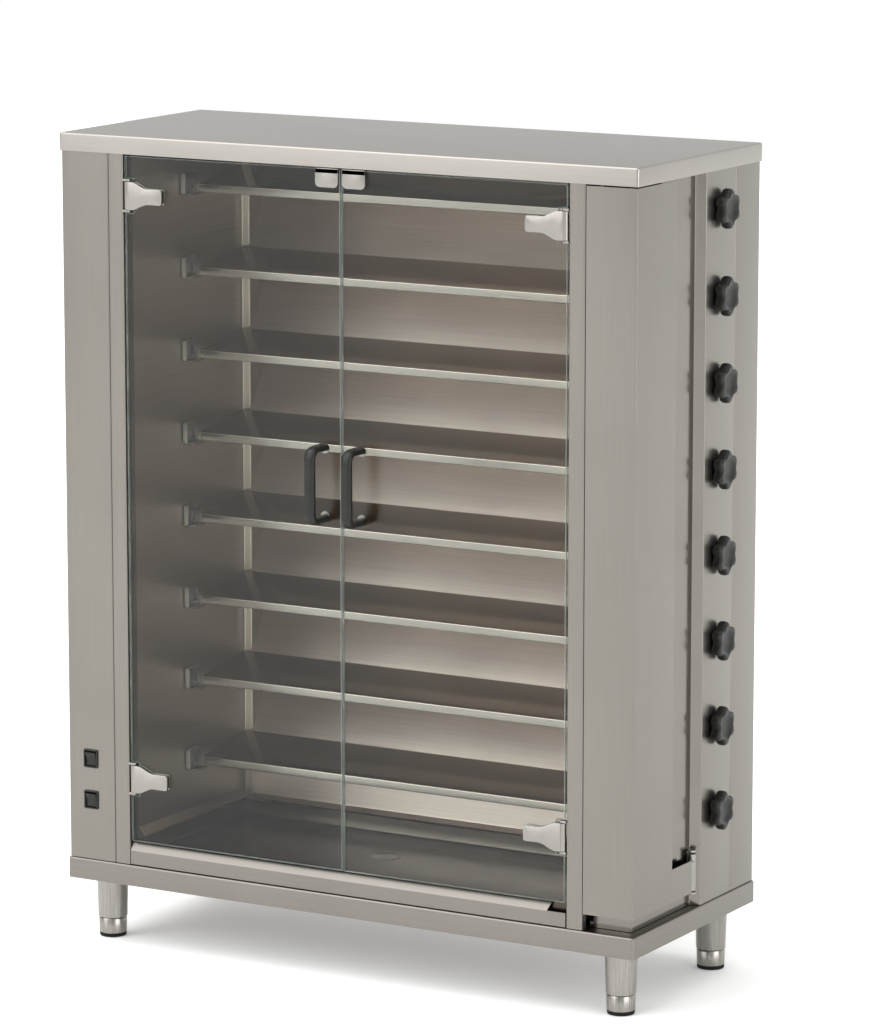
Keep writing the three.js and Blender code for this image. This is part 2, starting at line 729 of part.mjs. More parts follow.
// ---- drip tray -----------------------------------------------------------------------------
function dripTray() {
  const x0 = -wallX + runGap;
  const x1 = wallX - runGap;
  const back = ridgeY - runGap;
  const y0 = frontY + traySetback;
  const floor = deck + trayFloor;
  const rim = deck + trayDepth;
  const pan = block(x0, x1, y0, back, floor, rim)
    .subtract(block(x0 + sheet, x1 - sheet, y0 + sheet, back - sheet, floor + sheet, rim + 1));
  const low = block(x0, x1, frontY + 10, frontY + 17, deck + sillHeight - 1, rim + 1);
  const top = deck + sillHeight - gap;
  const front = folded([
    [y0 + 1, top], [frontY + lipRun, top], [frontY, deck + traySlope], [frontY, deck + 2],
  ], sheet, 'x', x0, x1);
  const cutX = wallX - lipEnd;
  const cutHigh = rim + 5;
  const lipCutter = prism([[cutX - lipCut, deck + traySlope + 1], [cutX, cutHigh], [x1 + 5, cutHigh],
    [x1 + 5, deck + traySlope + 1]].map(([x, z]) => [z, x]), 'y', frontY - 1, frontY + 13.5);
  const drain = [-drainRadius * 1.75, 0];
  const funnel = turned([
    [0, deck + 3], [drainPipe, deck + 3], [drainPipe, floor - 6], [drainRadius, floor + 0.5],
    [drainRadius, floor + sheet], [0, floor + sheet],
  ], 'z', [drain[0], drain[1], 0]);
  const throat = turned([
    [0, deck + 2], [drainPipe - 2, deck + 2], [drainPipe - 2, floor - 6],
    [drainRadius - 2, floor + sheet + 0.5], [0, floor + sheet + 0.5],
  ], 'z', [drain[0], drain[1], 0]);
  return union([pan.subtract(low), front.subtract(lipCutter), funnel]).subtract(throat);
}

// ---- assembly -------------------------------------------------------------------------------
place('top_cover', topCover(), brushed);
place('base_plinth', basePlinth(), brushed);
place('left_casing', leftCasing(), brushed);
place('left_post', doorPost(-1), brushed);
place('right_post', doorPost(1), brushed);
place('left_wall', sideWall(-1), inner);
place('right_wall', sideWall(1), inner);
place('rear_lower_panel', rearLowerPanel(), inner);
place('right_cover', rightCover(), brushed);
place('control_panel', controlPanel(), brushed);
place('rear_side_panel', rearSidePanel(), brushed);
place('rear_panel', rearPanel(), brushed);
place('cable_gland', cableGland(), bakelite);
place('burner_rack', burnerRack(), brass);
place('gearmotor', gearmotor(), cast);
place('motor_sprocket', motorSprocket(), cast);
place('drive_chain', driveChain(), cast);
place('drip_tray', dripTray(), mirrorSteel);
legPlaces().forEach((spot, i) => place(`foot_${i + 1}`, foot(spot), brushed));
levels.forEach((z, i) => {
  place(`hood_${i + 1}`, hood(z), mirrorSteel);
  place(`spit_drive_${i + 1}`, spitDrive(z), inner);
  place(`knob_${i + 1}`, knob(z), bakelite);
});
switchCentres.forEach((height, i) => {
  place(`switch_housing_${i + 1}`, switchHousing(height), bakelite);
  rockerKey(height);
});
for (const [name, side] of [['left', -1], ['right', 1]]) {
  place(`${name}_glass`, doorGlass(side), glass);
  place(`${name}_handle`, doorHandle(side), bakelite);
  place(`${name}_lower_clamp`, hingeClamp(side, clampLevels[0]), brushed);
  place(`${name}_upper_clamp`, hingeClamp(side, clampLevels[1]), brushed);
  place(`${name}_catch`, catchClip(side), brushed);
}

// origin at the middle of the outer box, on the floor
const extent = new THREE.Box3().setFromObject(broiler);
broiler.position.set(-(extent.min.x + extent.max.x) / 2, -(extent.min.y + extent.max.y) / 2, 0);

export default broiler;
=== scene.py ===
import json
import math
import bpy
import numpy as np
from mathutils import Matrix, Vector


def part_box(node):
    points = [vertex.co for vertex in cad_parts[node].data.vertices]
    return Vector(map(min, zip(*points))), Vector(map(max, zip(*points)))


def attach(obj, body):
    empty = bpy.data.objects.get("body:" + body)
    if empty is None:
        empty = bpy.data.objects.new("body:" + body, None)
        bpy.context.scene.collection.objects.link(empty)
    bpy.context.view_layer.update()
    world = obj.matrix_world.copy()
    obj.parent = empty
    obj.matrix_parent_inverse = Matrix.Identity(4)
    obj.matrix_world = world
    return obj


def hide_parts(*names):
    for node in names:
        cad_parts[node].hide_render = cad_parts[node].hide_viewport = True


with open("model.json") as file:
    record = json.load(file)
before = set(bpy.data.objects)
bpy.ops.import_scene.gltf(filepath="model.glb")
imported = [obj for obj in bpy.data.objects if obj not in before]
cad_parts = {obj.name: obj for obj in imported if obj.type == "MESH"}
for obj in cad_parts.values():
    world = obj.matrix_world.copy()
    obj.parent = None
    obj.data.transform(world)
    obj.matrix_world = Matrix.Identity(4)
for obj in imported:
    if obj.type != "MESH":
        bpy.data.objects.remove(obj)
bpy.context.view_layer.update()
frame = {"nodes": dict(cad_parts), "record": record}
scene = bpy.context.scene
mm = 0.001

# places on the cabinet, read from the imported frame
box = {name: np.array(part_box(name)) for name in frame["nodes"]}
capLow, capHigh = box["top_cover"]
plinthLow, plinthHigh = box["base_plinth"]
midX, midY = (capLow[:2] + capHigh[:2]) / 2
deck = plinthHigh[2]
left, right = box["left_casing"][0][0], box["right_cover"][1][0]
front, back = box["left_casing"][0][1], box["rear_side_panel"][1][1]
tuckTop = box["left_casing"][1][2]
print("frame loaded")


def linear(hexText):  # sRGB hex to linear light
    c = np.array([int(hexText[i:i + 2], 16) for i in (1, 3, 5)]) / 255
    c = np.where(c <= 0.04045, c / 12.92, ((c + 0.055) / 1.055) ** 2.4)
    return (*c.tolist(), 1.0)


def inMetres(sizes, *names):
    return {name: sizes[name] * mm for name in names}


def addNode(tree, kind, settings=None, links=None):
    node = tree.nodes.new(kind)
    for key, value in (settings or {}).items():
        if isinstance(key, int) or key in node.inputs:
            node.inputs[key].default_value = value
        else:
            setattr(node, key, value)
    for key, source in (links or {}).items():
        tree.links.new(source, node.inputs[key])
    return node


def newMaterial(name):
    material = bpy.data.materials.new(name)
    material.use_nodes = True
    tree = material.node_tree
    tree.nodes.clear()
    return material, tree


def finishMaterial(tree, shader):
    addNode(tree, "ShaderNodeOutputMaterial", links={"Surface": shader})


def finishSurface(tree, settings, colour, roughness, bump):
    shader = addNode(tree, "ShaderNodeBsdfPrincipled", settings,
                     {"Base Color": colour, "Roughness": roughness, "Normal": bump.outputs[0]})
    finishMaterial(tree, shader.outputs[0])


def ramp(tree, source, stops):
    node = addNode(tree, "ShaderNodeValToRGB", links={"Fac": source})
    elements = node.color_ramp.elements
    while len(elements) < len(stops):
        elements.new(0.5)
    for element, (place, colour) in zip(elements, stops):
        element.position = place
        element.color = colour
    return node.outputs["Color"]


steelLook = {"brushWidth": 2.4, "brushLength": 220, "smudge": 260, "waves": 420}  # mm


# 304 stainless sheet, belt brushed: fine streaks along one direction, soft broad reflections
def brushedSteel(name, dark, light, rough, along="z", streak=0.5, spread=0.05, wave=0.25):
    material, tree = newMaterial(name)
    place = addNode(tree, "ShaderNodeTexCoord").outputs["Object"]
    across = 1 / (steelLook["brushWidth"] * mm)
    length = 1 / (steelLook["brushLength"] * mm)
    scale = [length if axis == along else across for axis in "xyz"]
    stretched = addNode(tree, "ShaderNodeMapping", {"Scale": scale}, {"Vector": place}).outputs[0]
    grain = addNode(tree, "ShaderNodeTexNoise", {"Scale": 1.0, "Detail": 3.0, "Roughness": 0.6},
                    {"Vector": stretched}).outputs["Fac"]
    smudge = addNode(tree, "ShaderNodeTexNoise", {"Scale": 1 / (steelLook["smudge"] * mm), "Detail": 4.0},
                     {"Vector": place}).outputs["Fac"]
    tone = addNode(tree, "ShaderNodeMix", {"data_type": "FLOAT", 0: streak}, {2: smudge, 3: grain}).outputs[0]
    colour = ramp(tree, tone, [(0.3, linear(dark)), (0.7, linear(light))])
    roughness = addNode(tree, "ShaderNodeMapRange", {1: 0.25, 2: 0.75, 3: rough - spread, 4: rough + spread},
                        {0: tone}).outputs[0]
    swell = addNode(tree, "ShaderNodeTexNoise", {"Scale": 1 / (steelLook["waves"] * mm), "Detail": 1.0},
                    {"Vector": place}).outputs["Fac"]
    rolling = addNode(tree, "ShaderNodeBump", {"Strength": wave, "Distance": 2.5 * mm}, {"Height": swell})
    bump = addNode(tree, "ShaderNodeBump", {"Strength": 0.12, "Distance": 0.05 * mm},
                   {"Height": grain, "Normal": rolling.outputs[0]})
    finishSurface(tree, {"Metallic": 1.0}, colour, roughness, bump)
    return material


# bright annealed stainless near the flames: nearly a mirror, straw tint from the heat; its dark copies on the
# knob channel and the drip tray are painted shade
def annealedSteel(name, cool, straw, rough, tintSize=180, wave=0.35):
    material, tree = newMaterial(name)
    place = addNode(tree, "ShaderNodeTexCoord").outputs["Object"]
    heat = addNode(tree, "ShaderNodeTexNoise",
                   {"Scale": 1 / (tintSize * mm), "Detail": 3.0, "Roughness": 0.55},
                   {"Vector": place}).outputs["Fac"]
    colour = ramp(tree, heat, [(0.35, linear(cool)), (0.68, linear(straw))])
    film = addNode(tree, "ShaderNodeTexNoise", {"Scale": 1 / (60 * mm), "Detail": 3.0},
                   {"Vector": place}).outputs["Fac"]
    roughness = addNode(tree, "ShaderNodeMapRange", {1: 0.3, 2: 0.75, 3: rough * 0.9, 4: rough * 1.15},
                        {0: film}).outputs[0]
    swell = addNode(tree, "ShaderNodeTexNoise", {"Scale": 1 / (260 * mm), "Detail": 1.0},
                    {"Vector": place}).outputs["Fac"]
    bump = addNode(tree, "ShaderNodeBump", {"Strength": wave, "Distance": 1.5 * mm}, {"Height": swell})
    finishSurface(tree, {"Metallic": 1.0}, colour, roughness, bump)
    return material


# moulded phenolic: near black, satin, with the faint orange peel of the mould
def moulded(name, hexText, rough, peel=1.2, specular=0.35):
    material, tree = newMaterial(name)
    place = addNode(tree, "ShaderNodeTexCoord").outputs["Object"]
    grain = addNode(tree, "ShaderNodeTexNoise", {"Scale": 1 / (peel * mm), "Detail": 2.0},
                    {"Vector": place}).outputs["Fac"]
    wear = addNode(tree, "ShaderNodeTexNoise", {"Scale": 1 / (18 * mm), "Detail": 4.0},
                   {"Vector": place}).outputs["Fac"]
    base = np.array(linear(hexText))
    colour = ramp(tree, wear, [(0.3, tuple(base)), (0.8, (*(base[:3] * 1.8 + 0.002), 1.0))])
    roughness = addNode(tree, "ShaderNodeMapRange", {1: 0.3, 2: 0.7, 3: rough - 0.06, 4: rough + 0.08},
                        {0: wear}).outputs[0]
    bump = addNode(tree, "ShaderNodeBump", {"Strength": 0.15, "Distance": 0.1 * mm}, {"Height": grain})
    finishSurface(tree, {"IOR": 1.5, "Specular IOR Level": specular}, colour, roughness, bump)
    return material


# machined or cast metal with uneven dull patches
def machined(name, dark, light, rough, metallic=1.0, patch=9):
    material, tree = newMaterial(name)
    place = addNode(tree, "ShaderNodeTexCoord").outputs["Object"]
    blot = addNode(tree, "ShaderNodeTexNoise", {"Scale": 1 / (patch * mm), "Detail": 5.0, "Roughness": 0.6},
                   {"Vector": place}).outputs["Fac"]
    colour = ramp(tree, blot, [(0.3, linear(dark)), (0.72, linear(light))])
    roughness = addNode(tree, "ShaderNodeMapRange", {1: 0.3, 2: 0.75, 3: rough - 0.1, 4: rough + 0.12},
                        {0: blot}).outputs[0]
    bump = addNode(tree, "ShaderNodeBump", {"Strength": 0.2, "Distance": 0.2 * mm}, {"Height": blot})
    finishSurface(tree, {"Metallic": metallic}, colour, roughness, bump)
    return material


# tempered float glass: straight through with a faint tint, the mirror share rises at grazing angles
def clearGlass(name, tint, body=0.0):
    material, tree = newMaterial(name)
    place = addNode(tree, "ShaderNodeTexCoord").outputs["Object"]
    haze = addNode(tree, "ShaderNodeTexNoise", {"Scale": 1 / (90 * mm), "Detail": 5.0},
                   {"Vector": place}).outputs["Fac"]
    roughness = addNode(tree, "ShaderNodeMapRange", {1: 0.4, 2: 0.8, 3: 0.0, 4: 0.03}, {0: haze}).outputs[0]
    share = addNode(tree, "ShaderNodeFresnel", {"IOR": 1.3}).outputs[0]
    through = addNode(tree, "ShaderNodeBsdfTransparent", {"Color": linear(tint)}).outputs[0]
    mirror = addNode(tree, "ShaderNodeBsdfGlossy", links={"Roughness": roughness}).outputs[0]
    pane = addNode(tree, "ShaderNodeMixShader", links={0: share, 1: through, 2: mirror}).outputs[0]
    ground = addNode(tree, "ShaderNodeBsdfPrincipled", {"Base Color": linear(tint), "Roughness": 0.4})
    finishMaterial(tree, addNode(tree, "ShaderNodeMixShader", {0: body},
                                 {1: pane, 2: ground.outputs[0]}).outputs[0])
    return material


satinUp = brushedSteel("brushedStainlessUpright", "#7b7872", "#85817b", 0.34, wave=0.12)
# the lid's steel is lighter than the same brushed stainless on the uprights: painted light on the top of the
# cabinet
lidLitSteel = brushedSteel("brushedStainlessAcross", "#99958f", "#a39f9a", 0.34, along="x", wave=0.12)
plinthSteel = brushedSteel("plinthStainless", "#78746f", "#827e78", 0.34, along="x", wave=0.12)
wallSteel = brushedSteel("linerStainless", "#aea79c", "#c6bdb0", 0.36, along="y")
# steel of the radiant panels and the lower rear lining: the warm tint from the heat is real, the extra
# lightness is painted light
hoodLitSteel = brushedSteel("radiantStainless", "#dccfc5", "#f3e7dd", 0.42, along="x", spread=0.08)
shelfSteel = annealedSteel("brightShelfStainless", "#a69f94", "#b0a596", 0.12, wave=0.03)
# the lip's steel is darker than the panel of the same folded sheet: painted shade on the lips
lipShadeSteel = brushedSteel("lipStainless", "#8b877f", "#97938c", 0.3, along="x", wave=0.1)
# darker copy of the steel for the knob channel: painted shade in the recess between the side cover and the
# knob strip
channelShadeSteel = annealedSteel("coldRolledStainless", "#78746f", "#7d7974", 0.16, wave=0.03)
# the drip tray's steel is far darker than stainless: painted shade at the bottom of the cavity
trayShadeSteel = annealedSteel("trayStainless", "#4a4540", "#4e4943", 0.24, wave=0.0)
fittingSteel = machined("castStainlessFitting", "#94918c", "#9a9792", 0.36, patch=30)
footSteel = brushedSteel("turnedStainless", "#84817c", "#a09d98", 0.26, along="z", streak=0.8)
blackPhenolic = moulded("blackPhenolic", "#121210", 0.38)
blackRubber = moulded("blackRubber", "#101011", 0.75, peel=2.5, specular=0.2)
paneGlass = clearGlass("temperedGlass", "#fdfefd")
edgeGlass = clearGlass("groundGlassEdge", "#cdd9d4", body=0.3)
brassLook = machined("machinedBrass", "#8a6f3a", "#b8965a", 0.38)
castLook = machined("paintedCastIron", "#1b1c1e", "#2c2d30", 0.5, metallic=0.0)
chainLook = machined("oiledChainSteel", "#3c3a37", "#77736d", 0.35, patch=3)
print("materials ready")


def gridFaces(rows, columns, closeRows=False, closeColumns=False):
    # quads between neighbouring rows and columns of a grid of points, as index arrays
    r = np.arange(rows if closeRows else rows - 1)
    c = np.arange(columns if closeColumns else columns - 1)
    r, c = np.meshgrid(r, c, indexing="ij")
    r2, c2 = (r + 1) % rows, (c + 1) % columns
    quads = np.stack([r * columns + c, r * columns + c2, r2 * columns + c2, r2 * columns + c], -1)
    return quads.reshape(-1, 4)


def makePiece(name, parts, body, nodes=(), smooth=32):
    # parts are (points, faces, material); they are joined into one mesh, and folded edges stay sharp
    points, faces, slots, looks, offset = [], [], [], [], 0
    for vertices, polygons, material in parts:
        if material not in looks:
            looks.append(material)
        polygons = [list(p) for p in polygons]
        points.append(np.asarray(vertices, float))
        faces += [[i + offset for i in polygon] for polygon in polygons]
        slots += [looks.index(material)] * len(polygons)
        offset += len(vertices)
    mesh = bpy.data.meshes.new(name)
    mesh.from_pydata(np.vstack(points).tolist(), [], faces)
    for material in looks:
        mesh.materials.append(material)
    mesh.polygons.foreach_set("material_index", slots)
    mesh.update()
    mesh.shade_smooth()
    mesh.set_sharp_from_angle(angle=math.radians(smooth))
    piece = bpy.data.objects.new(name, mesh)
    scene.collection.objects.link(piece)
    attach(piece, body)
    if nodes:
        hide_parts(*nodes)
    return piece


def cutAway(piece, cutters):
    # takes each cutter's solid (points, faces) out of the piece
    for points, faces, _ in cutters:
        mesh = bpy.data.meshes.new("cutter")
        mesh.from_pydata(np.asarray(points).tolist(), [], [list(f) for f in faces])
        cutter = bpy.data.objects.new("cutter", mesh)
        scene.collection.objects.link(cutter)
        modifier = piece.modifiers.new("cut", "BOOLEAN")
        modifier.operation = "DIFFERENCE"
        modifier.solver = "EXACT"
        modifier.object = cutter
        evaluated = piece.evaluated_get(bpy.context.evaluated_depsgraph_get())
        result = bpy.data.meshes.new_from_object(evaluated)
        piece.modifiers.clear()
        old, piece.data = piece.data, result
        bpy.data.meshes.remove(old)
        bpy.data.objects.remove(cutter)
        bpy.data.meshes.remove(mesh)
    piece.data.set_sharp_from_angle(angle=math.radians(32))


def paint(piece, material, chosen):
    # gives another material to the faces whose centre and normal pass a test
    mesh = piece.data
    mesh.materials.append(material)
    centres, normals = np.empty(len(mesh.polygons) * 3), np.empty(len(mesh.polygons) * 3)
    mesh.polygons.foreach_get("center", centres)
    mesh.polygons.foreach_get("normal", normals)
    index = np.zeros(len(mesh.polygons), int)
    mesh.polygons.foreach_get("material_index", index)
    index[chosen(centres.reshape(-1, 3), normals.reshape(-1, 3))] = len(mesh.materials) - 1
    mesh.polygons.foreach_set("material_index", index)


axes = {"x": (1, 2, 0), "y": (2, 0, 1), "z": (0, 1, 2)}  # outline's two axes, then the way it is pushed


def along(axis, a, b, c):
    # puts outline coordinates a, b and the push c into x, y, z
    a, b, c = np.broadcast_arrays(a, b, c)
    out = np.empty(a.shape + (3,))
    for values, index in zip((a, b, c), axes[axis]):
        out[..., index] = values
    return out


def bendLine(points, radius, steps=5):
    # a polyline whose corners become arcs tangent to both legs, with the unit normal on its left
    p = np.asarray(points, float)
    leg = np.diff(p, axis=0)
    length = np.linalg.norm(leg, axis=1)
    way = leg / length[:, None]
    side = np.stack([-way[:, 1], way[:, 0]], 1)
    line, normals = [p[:1]], [side[:1]]
    for i in range(1, len(p) - 1):
        turn = math.atan2(way[i - 1][0] * way[i][1] - way[i - 1][1] * way[i][0], way[i - 1] @ way[i])
        if abs(turn) < 1e-4:
            continue
        reach = min(radius * math.tan(abs(turn) / 2), 0.45 * length[i - 1], 0.45 * length[i])
        r = reach / math.tan(abs(turn) / 2)
        start = p[i] - way[i - 1] * reach
        centre = start + side[i - 1] * r * math.copysign(1, turn)
        angle = np.linspace(0, turn, steps + 1)[:, None]
        normal = side[i - 1] * np.cos(angle) - way[i - 1] * np.sin(angle)
        line.append(centre - normal * r * math.copysign(1, turn))
        normals.append(normal)
    line.append(p[-1:])
    normals.append(side[-1:])
    return np.vstack(line), np.vstack(normals)


def anticlockwise(outline):
    area = np.sum(outline[:, 0] * np.roll(outline[:, 1], -1) - np.roll(outline[:, 0], -1) * outline[:, 1])
    return outline if area > 0 else outline[::-1]


def closedTube(grid, material):
    # rows of a closed outline joined into a surface, its first and last row filled in
    rows, columns = grid.shape[:2]
    faces = gridFaces(rows, columns, closeColumns=True).tolist()
    faces += [list(range(columns))[::-1], list(range((rows - 1) * columns, rows * columns))]
    return fixFacing((grid.reshape(-1, 3), faces, material))


def closedSheet(grid, material):
    # rows of a folded outline that runs out along one side and back along the other, ends filled by quads
    rows, columns = grid.shape[:2]
    i = np.arange(columns // 2 - 1)
    caps = np.stack([i, i + 1, columns - 2 - i, columns - 1 - i], 1)
    faces = gridFaces(rows, columns, closeColumns=True).tolist()
    faces += caps[:, ::-1].tolist() + (caps + (rows - 1) * columns).tolist()
    return fixFacing((grid.reshape(-1, 3), faces, material))


def sheetPart(points, thickness, axis, start, end, material, bend=2.4 * mm, steps=5):
    # folded sheet: bent line and its offset to the left, pushed between two places;
    # the second place may be a rule that gives each outline point its own
    line, normal = bendLine(points, bend, steps)
    n = len(line)
    ring = np.vstack([line, (line + normal * thickness)[::-1]])
    stop = end(ring) if callable(end) else np.full(2 * n, end)
    places = np.stack([np.full(2 * n, start), stop])
    return closedSheet(along(axis, ring[None, :, 0], ring[None, :, 1], places), material)


def fixFacing(part):
    # turns every face over if the closed surface's signed volume is negative
    points, faces, material = part
    points = np.asarray(points, float)
    volume = 0.0
    groups = {}
    for face in faces:
        groups.setdefault(len(face), []).append(face)
    for size, group in groups.items():
        corners = points[np.array(group)]
        for k in range(1, size - 1):
            volume += np.einsum("ij,ij->", corners[:, 0], np.cross(corners[:, k], corners[:, k + 1])) / 6
    if volume < 0:
        faces = [list(face)[::-1] for face in faces]
    return points, faces, material


def boxPart(low, high, material, bevel=0.6 * mm):
    # box with small chamfers: a rounded rectangle in plan, stepped in at its lower and upper rim
    low, high = np.asarray(low, float), np.asarray(high, float)
    size = high - low
    bevel = min(bevel, 0.3 * size.min())
    centre = (low + high) / 2
    ring = roundedRectangle(size[0] / 2, size[1] / 2, bevel, 2)
    layers = [(bevel, low[2]), (0, low[2] + bevel), (0, high[2] - bevel), (bevel, high[2])]
    return stackPart(ring, layers, centre[:2], material)


def roundedRectangle(halfA, halfB, radius, steps=4):
    # corner arc centres and outward normals, so that a ring can be inset without crossing itself
    angle = (np.arange(4)[:, None] + np.linspace(0, 1, steps + 1)[None]) * np.pi / 2
    signs = np.array([[1, 1], [-1, 1], [-1, -1], [1, -1]])[:, None, :]
    centre = signs * np.array([halfA - radius, halfB - radius])
    normal = np.stack([np.cos(angle), np.sin(angle)], -1)
    return (np.broadcast_to(centre, normal.shape).reshape(-1, 2), normal.reshape(-1, 2), radius)


def stackPart(ring, layers, centre, material, axis="z"):
    # rings of a rounded outline, inset by d at height h, joined into a closed surface
    arc, normal, radius = ring
    inset = np.array([d for d, _ in layers])[:, None, None]
    height = np.array([h for _, h in layers])[:, None]
    flat = arc[None] + normal[None] * (radius - inset) + np.asarray(centre)[None, None]
    return closedTube(along(axis, flat[..., 0], flat[..., 1], height), material)


def lathePart(profile, axis, centre, material, segments=48):
    # a (radius, height) profile turned round an axis; ends on the axis close with a fan
    profile = np.asarray(profile, float)
    body = profile[(profile[:, 0] > 1e-9)]
    angle = np.linspace(0, 2 * np.pi, segments, endpoint=False)
    a = body[:, :1] * np.cos(angle)
    b = body[:, :1] * np.sin(angle)
    grid = along(axis, a, b, body[:, 1:]).reshape(-1, 3) + np.asarray(centre)
    rows = len(body)
    faces = gridFaces(rows, segments, closeColumns=True,
                      closeRows=bool(profile[0, 0] > 1e-9 and np.allclose(profile[0], profile[-1]))).tolist()
    if profile[0, 0] <= 1e-9:
        faces.append(list(range(segments))[::-1])
    if profile[-1, 0] <= 1e-9:
        faces.append(list(range((rows - 1) * segments, rows * segments)))
    return fixFacing((grid, faces, material))


def rodPart(radius, start, end, axis, centre, material, bevel=0.5 * mm, segments=32):
    # turned pin with small chamfers
    profile = [(0, start), (radius - bevel, start), (radius, start + bevel), (radius, end - bevel),
               (radius - bevel, end), (0, end)]
    return lathePart(profile, axis, centre, material, segments)


def platePart(outline, axis, start, end, bevel, material):
    # plate of any smooth outline: rings inset along the outline's own normals make the bevel
    p = np.asarray(outline, float)
    step = np.roll(p, -1, 0) - np.roll(p, 1, 0)
    normal = np.stack([step[:, 1], -step[:, 0]], 1)
    normal /= np.linalg.norm(normal, axis=1)[:, None]
    area = np.sum(p[:, 0] * np.roll(p[:, 1], -1) - np.roll(p[:, 0], -1) * p[:, 1])
    normal *= math.copysign(1, area)
    inset = np.array([bevel, bevel * 0.3, 0, 0, bevel * 0.3, bevel])[:, None, None]
    height = np.array([start, start + bevel * 0.3, start + bevel,
                       end - bevel, end - bevel * 0.3, end])[:, None]
    flat = p[None] - normal[None] * inset
    return closedTube(along(axis, flat[..., 0], flat[..., 1], height), material)


def barPart(path, halfWidth, halfDepth, power, origin, material, bend, around=28, flare=None):
    # superellipse section |a|^p + |b|^p = 1 carried along a bent line in the y-z plane
    line, normal = bendLine(path, bend, 10)
    angle = np.linspace(0, 2 * np.pi, around, endpoint=False)
    c, s = np.cos(angle), np.sin(angle)
    c = np.sign(c) * np.abs(c) ** (2 / power)
    s = np.sign(s) * np.abs(s) ** (2 / power)
    width = np.full(len(line), halfWidth)
    if flare is not None:
        width = width * flare(line)
    x = width[:, None] * c[None]
    y = line[:, :1] + normal[:, :1] * halfDepth * s[None]
    z = line[:, 1:] + normal[:, 1:] * halfDepth * s[None]
    return closedTube(np.stack([x, y, z], -1) + np.asarray(origin), material)


sheet = 1.5 * mm
sides = ("left", "right")
fold = {"casing": 16, "post": 14, "jamb": 30, "rear": 40, "panel": 14}  # mm, how far each return runs

shell = {"bend": 3.2, "corner": 4.5}  # mm


def traySkin(low, high, top, bottom, material):
    # folded lid: flange, rolled edge, flat top, and the same surface again one sheet inside
    halfA, halfB = (high[0] - low[0]) / 2, (high[1] - low[1]) / 2
    bend = shell["bend"] * mm
    ring = roundedRectangle(halfA, halfB, shell["corner"] * mm, 6)
    angle = np.linspace(0, np.pi / 2, 7)
    outside = [(0, bottom)] + list(zip(bend - bend * np.cos(angle), top - bend + bend * np.sin(angle)))
    layers = outside[::-1] + [(sheet, bottom), (sheet, top - sheet)]
    return stackPart(ring, layers, ((low[0] + high[0]) / 2, (low[1] + high[1]) / 2), material)


# the lid in the lightened steel: painted light
makePiece("topCover", [traySkin(capLow, capHigh, capHigh[2], capLow[2], lidLitSteel)], "cabinet",
          ["top_cover"])

sleeve = {"top": 28.5, "foot": 26.5, "height": 36, "bore": 14.75, "plinth": 38}  # mm
footLook = {"ring": 7, "waist": 24.5, "rim": 25.5}


def legPlaces():
    return [tuple((box[f"foot_{i}"][0][:2] + box[f"foot_{i}"][1][:2]) / 2) for i in range(1, 5)]


legHeight = plinthHigh[2] - sleeve["plinth"] * mm
plinthParts = [traySkin(plinthLow, plinthHigh, deck, legHeight, plinthSteel)]
for x, y in legPlaces():
    s = inMetres(sleeve, "top", "foot", "height", "bore")
    t = deck - 2 * mm
    plinthParts.append(lathePart([
        (s["bore"], s["height"]), (s["foot"] - 1.5 * mm, s["height"]), (s["foot"], s["height"] + 1.5 * mm),
        (s["foot"] + 0.4 * mm, s["height"] + 18 * mm), (s["top"], legHeight - 6 * mm),
        (s["top"] + 1.2 * mm, legHeight - 1.5 * mm), (s["top"] + 1.2 * mm, t), (s["bore"], t),
        (s["bore"], s["height"]),
    ], "z", (x, y, 0), footSteel))
makePiece("plinthTray", plinthParts, "cabinet", ["base_plinth"])

for i, (x, y) in enumerate(legPlaces(), 1):
    h = sleeve["height"] * mm - 0.6 * mm
    w = footLook["waist"] * mm
    ringTop = footLook["ring"] * mm
    stem = box[f"foot_{i}"][1][2]
    makePiece(f"levellingFoot{i}", [
        lathePart([(0, 0), (w - 4 * mm, 0), (w - 1 * mm, 0.8 * mm), (w, 3 * mm), (w, ringTop), (0, ringTop)],
                  "z", (x, y, 0), blackRubber),
        lathePart([(0, ringTop), (w - 0.5 * mm, ringTop), (w + 0.3 * mm, ringTop + 1 * mm),
                   (footLook["rim"] * mm, h - 2 * mm), (footLook["rim"] * mm - 1 * mm, h),
                   (14 * mm, h), (14 * mm, stem), (0, stem)], "z", (x, y, 0), footSteel),
    ], f"levelling_{i}", [f"foot_{i}"])
print("lid, plinth and feet made")

casing = box["left_casing"]
postOuter = casing[1][0]
base = casing[0][2]
casingPiece = makePiece("driveColumnCasing", [sheetPart([
    (left + fold["rear"] * mm, back), (left, back), (left, front), (postOuter, front),
    (postOuter, front + fold["casing"] * mm),
], sheet, "z", base, tuckTop, satinUp)], "cabinet", ["left_casing"])
flange = 1.6 * mm  # the switch's rim laps over the edge of its hole
cutAway(casingPiece, [boxPart(
    (low[0] + flange, front - 3 * mm, low[2] + flange), (high[0] - flange, front + 4 * mm, high[2] - flange),
    satinUp) for low, high in (box["switch_housing_1"], box["switch_housing_2"])])

hinge = {j["name"]: j for j in frame["record"]["behaviour"]["joints"]}
pivots = {side: np.array(hinge[f"{side}_door_hinge"]["pos_m"]) for side in sides}
lug = {"radius": 5.5, "height": 4.0, "pin": 2.5, "play": 0.4, "offset": 9}  # mm
wallX = {"left": pivots["left"][0] - lug["offset"] * mm, "right": pivots["right"][0] + lug["offset"] * mm}
clampHalf = (box["left_lower_clamp"][1][2] - box["left_lower_clamp"][0][2]) / 2
clampPlaces = {side: [(box[f"{side}_{level}_clamp"][0][2] + box[f"{side}_{level}_clamp"][1][2]) / 2
                      for level in ("lower", "upper")] for side in sides}


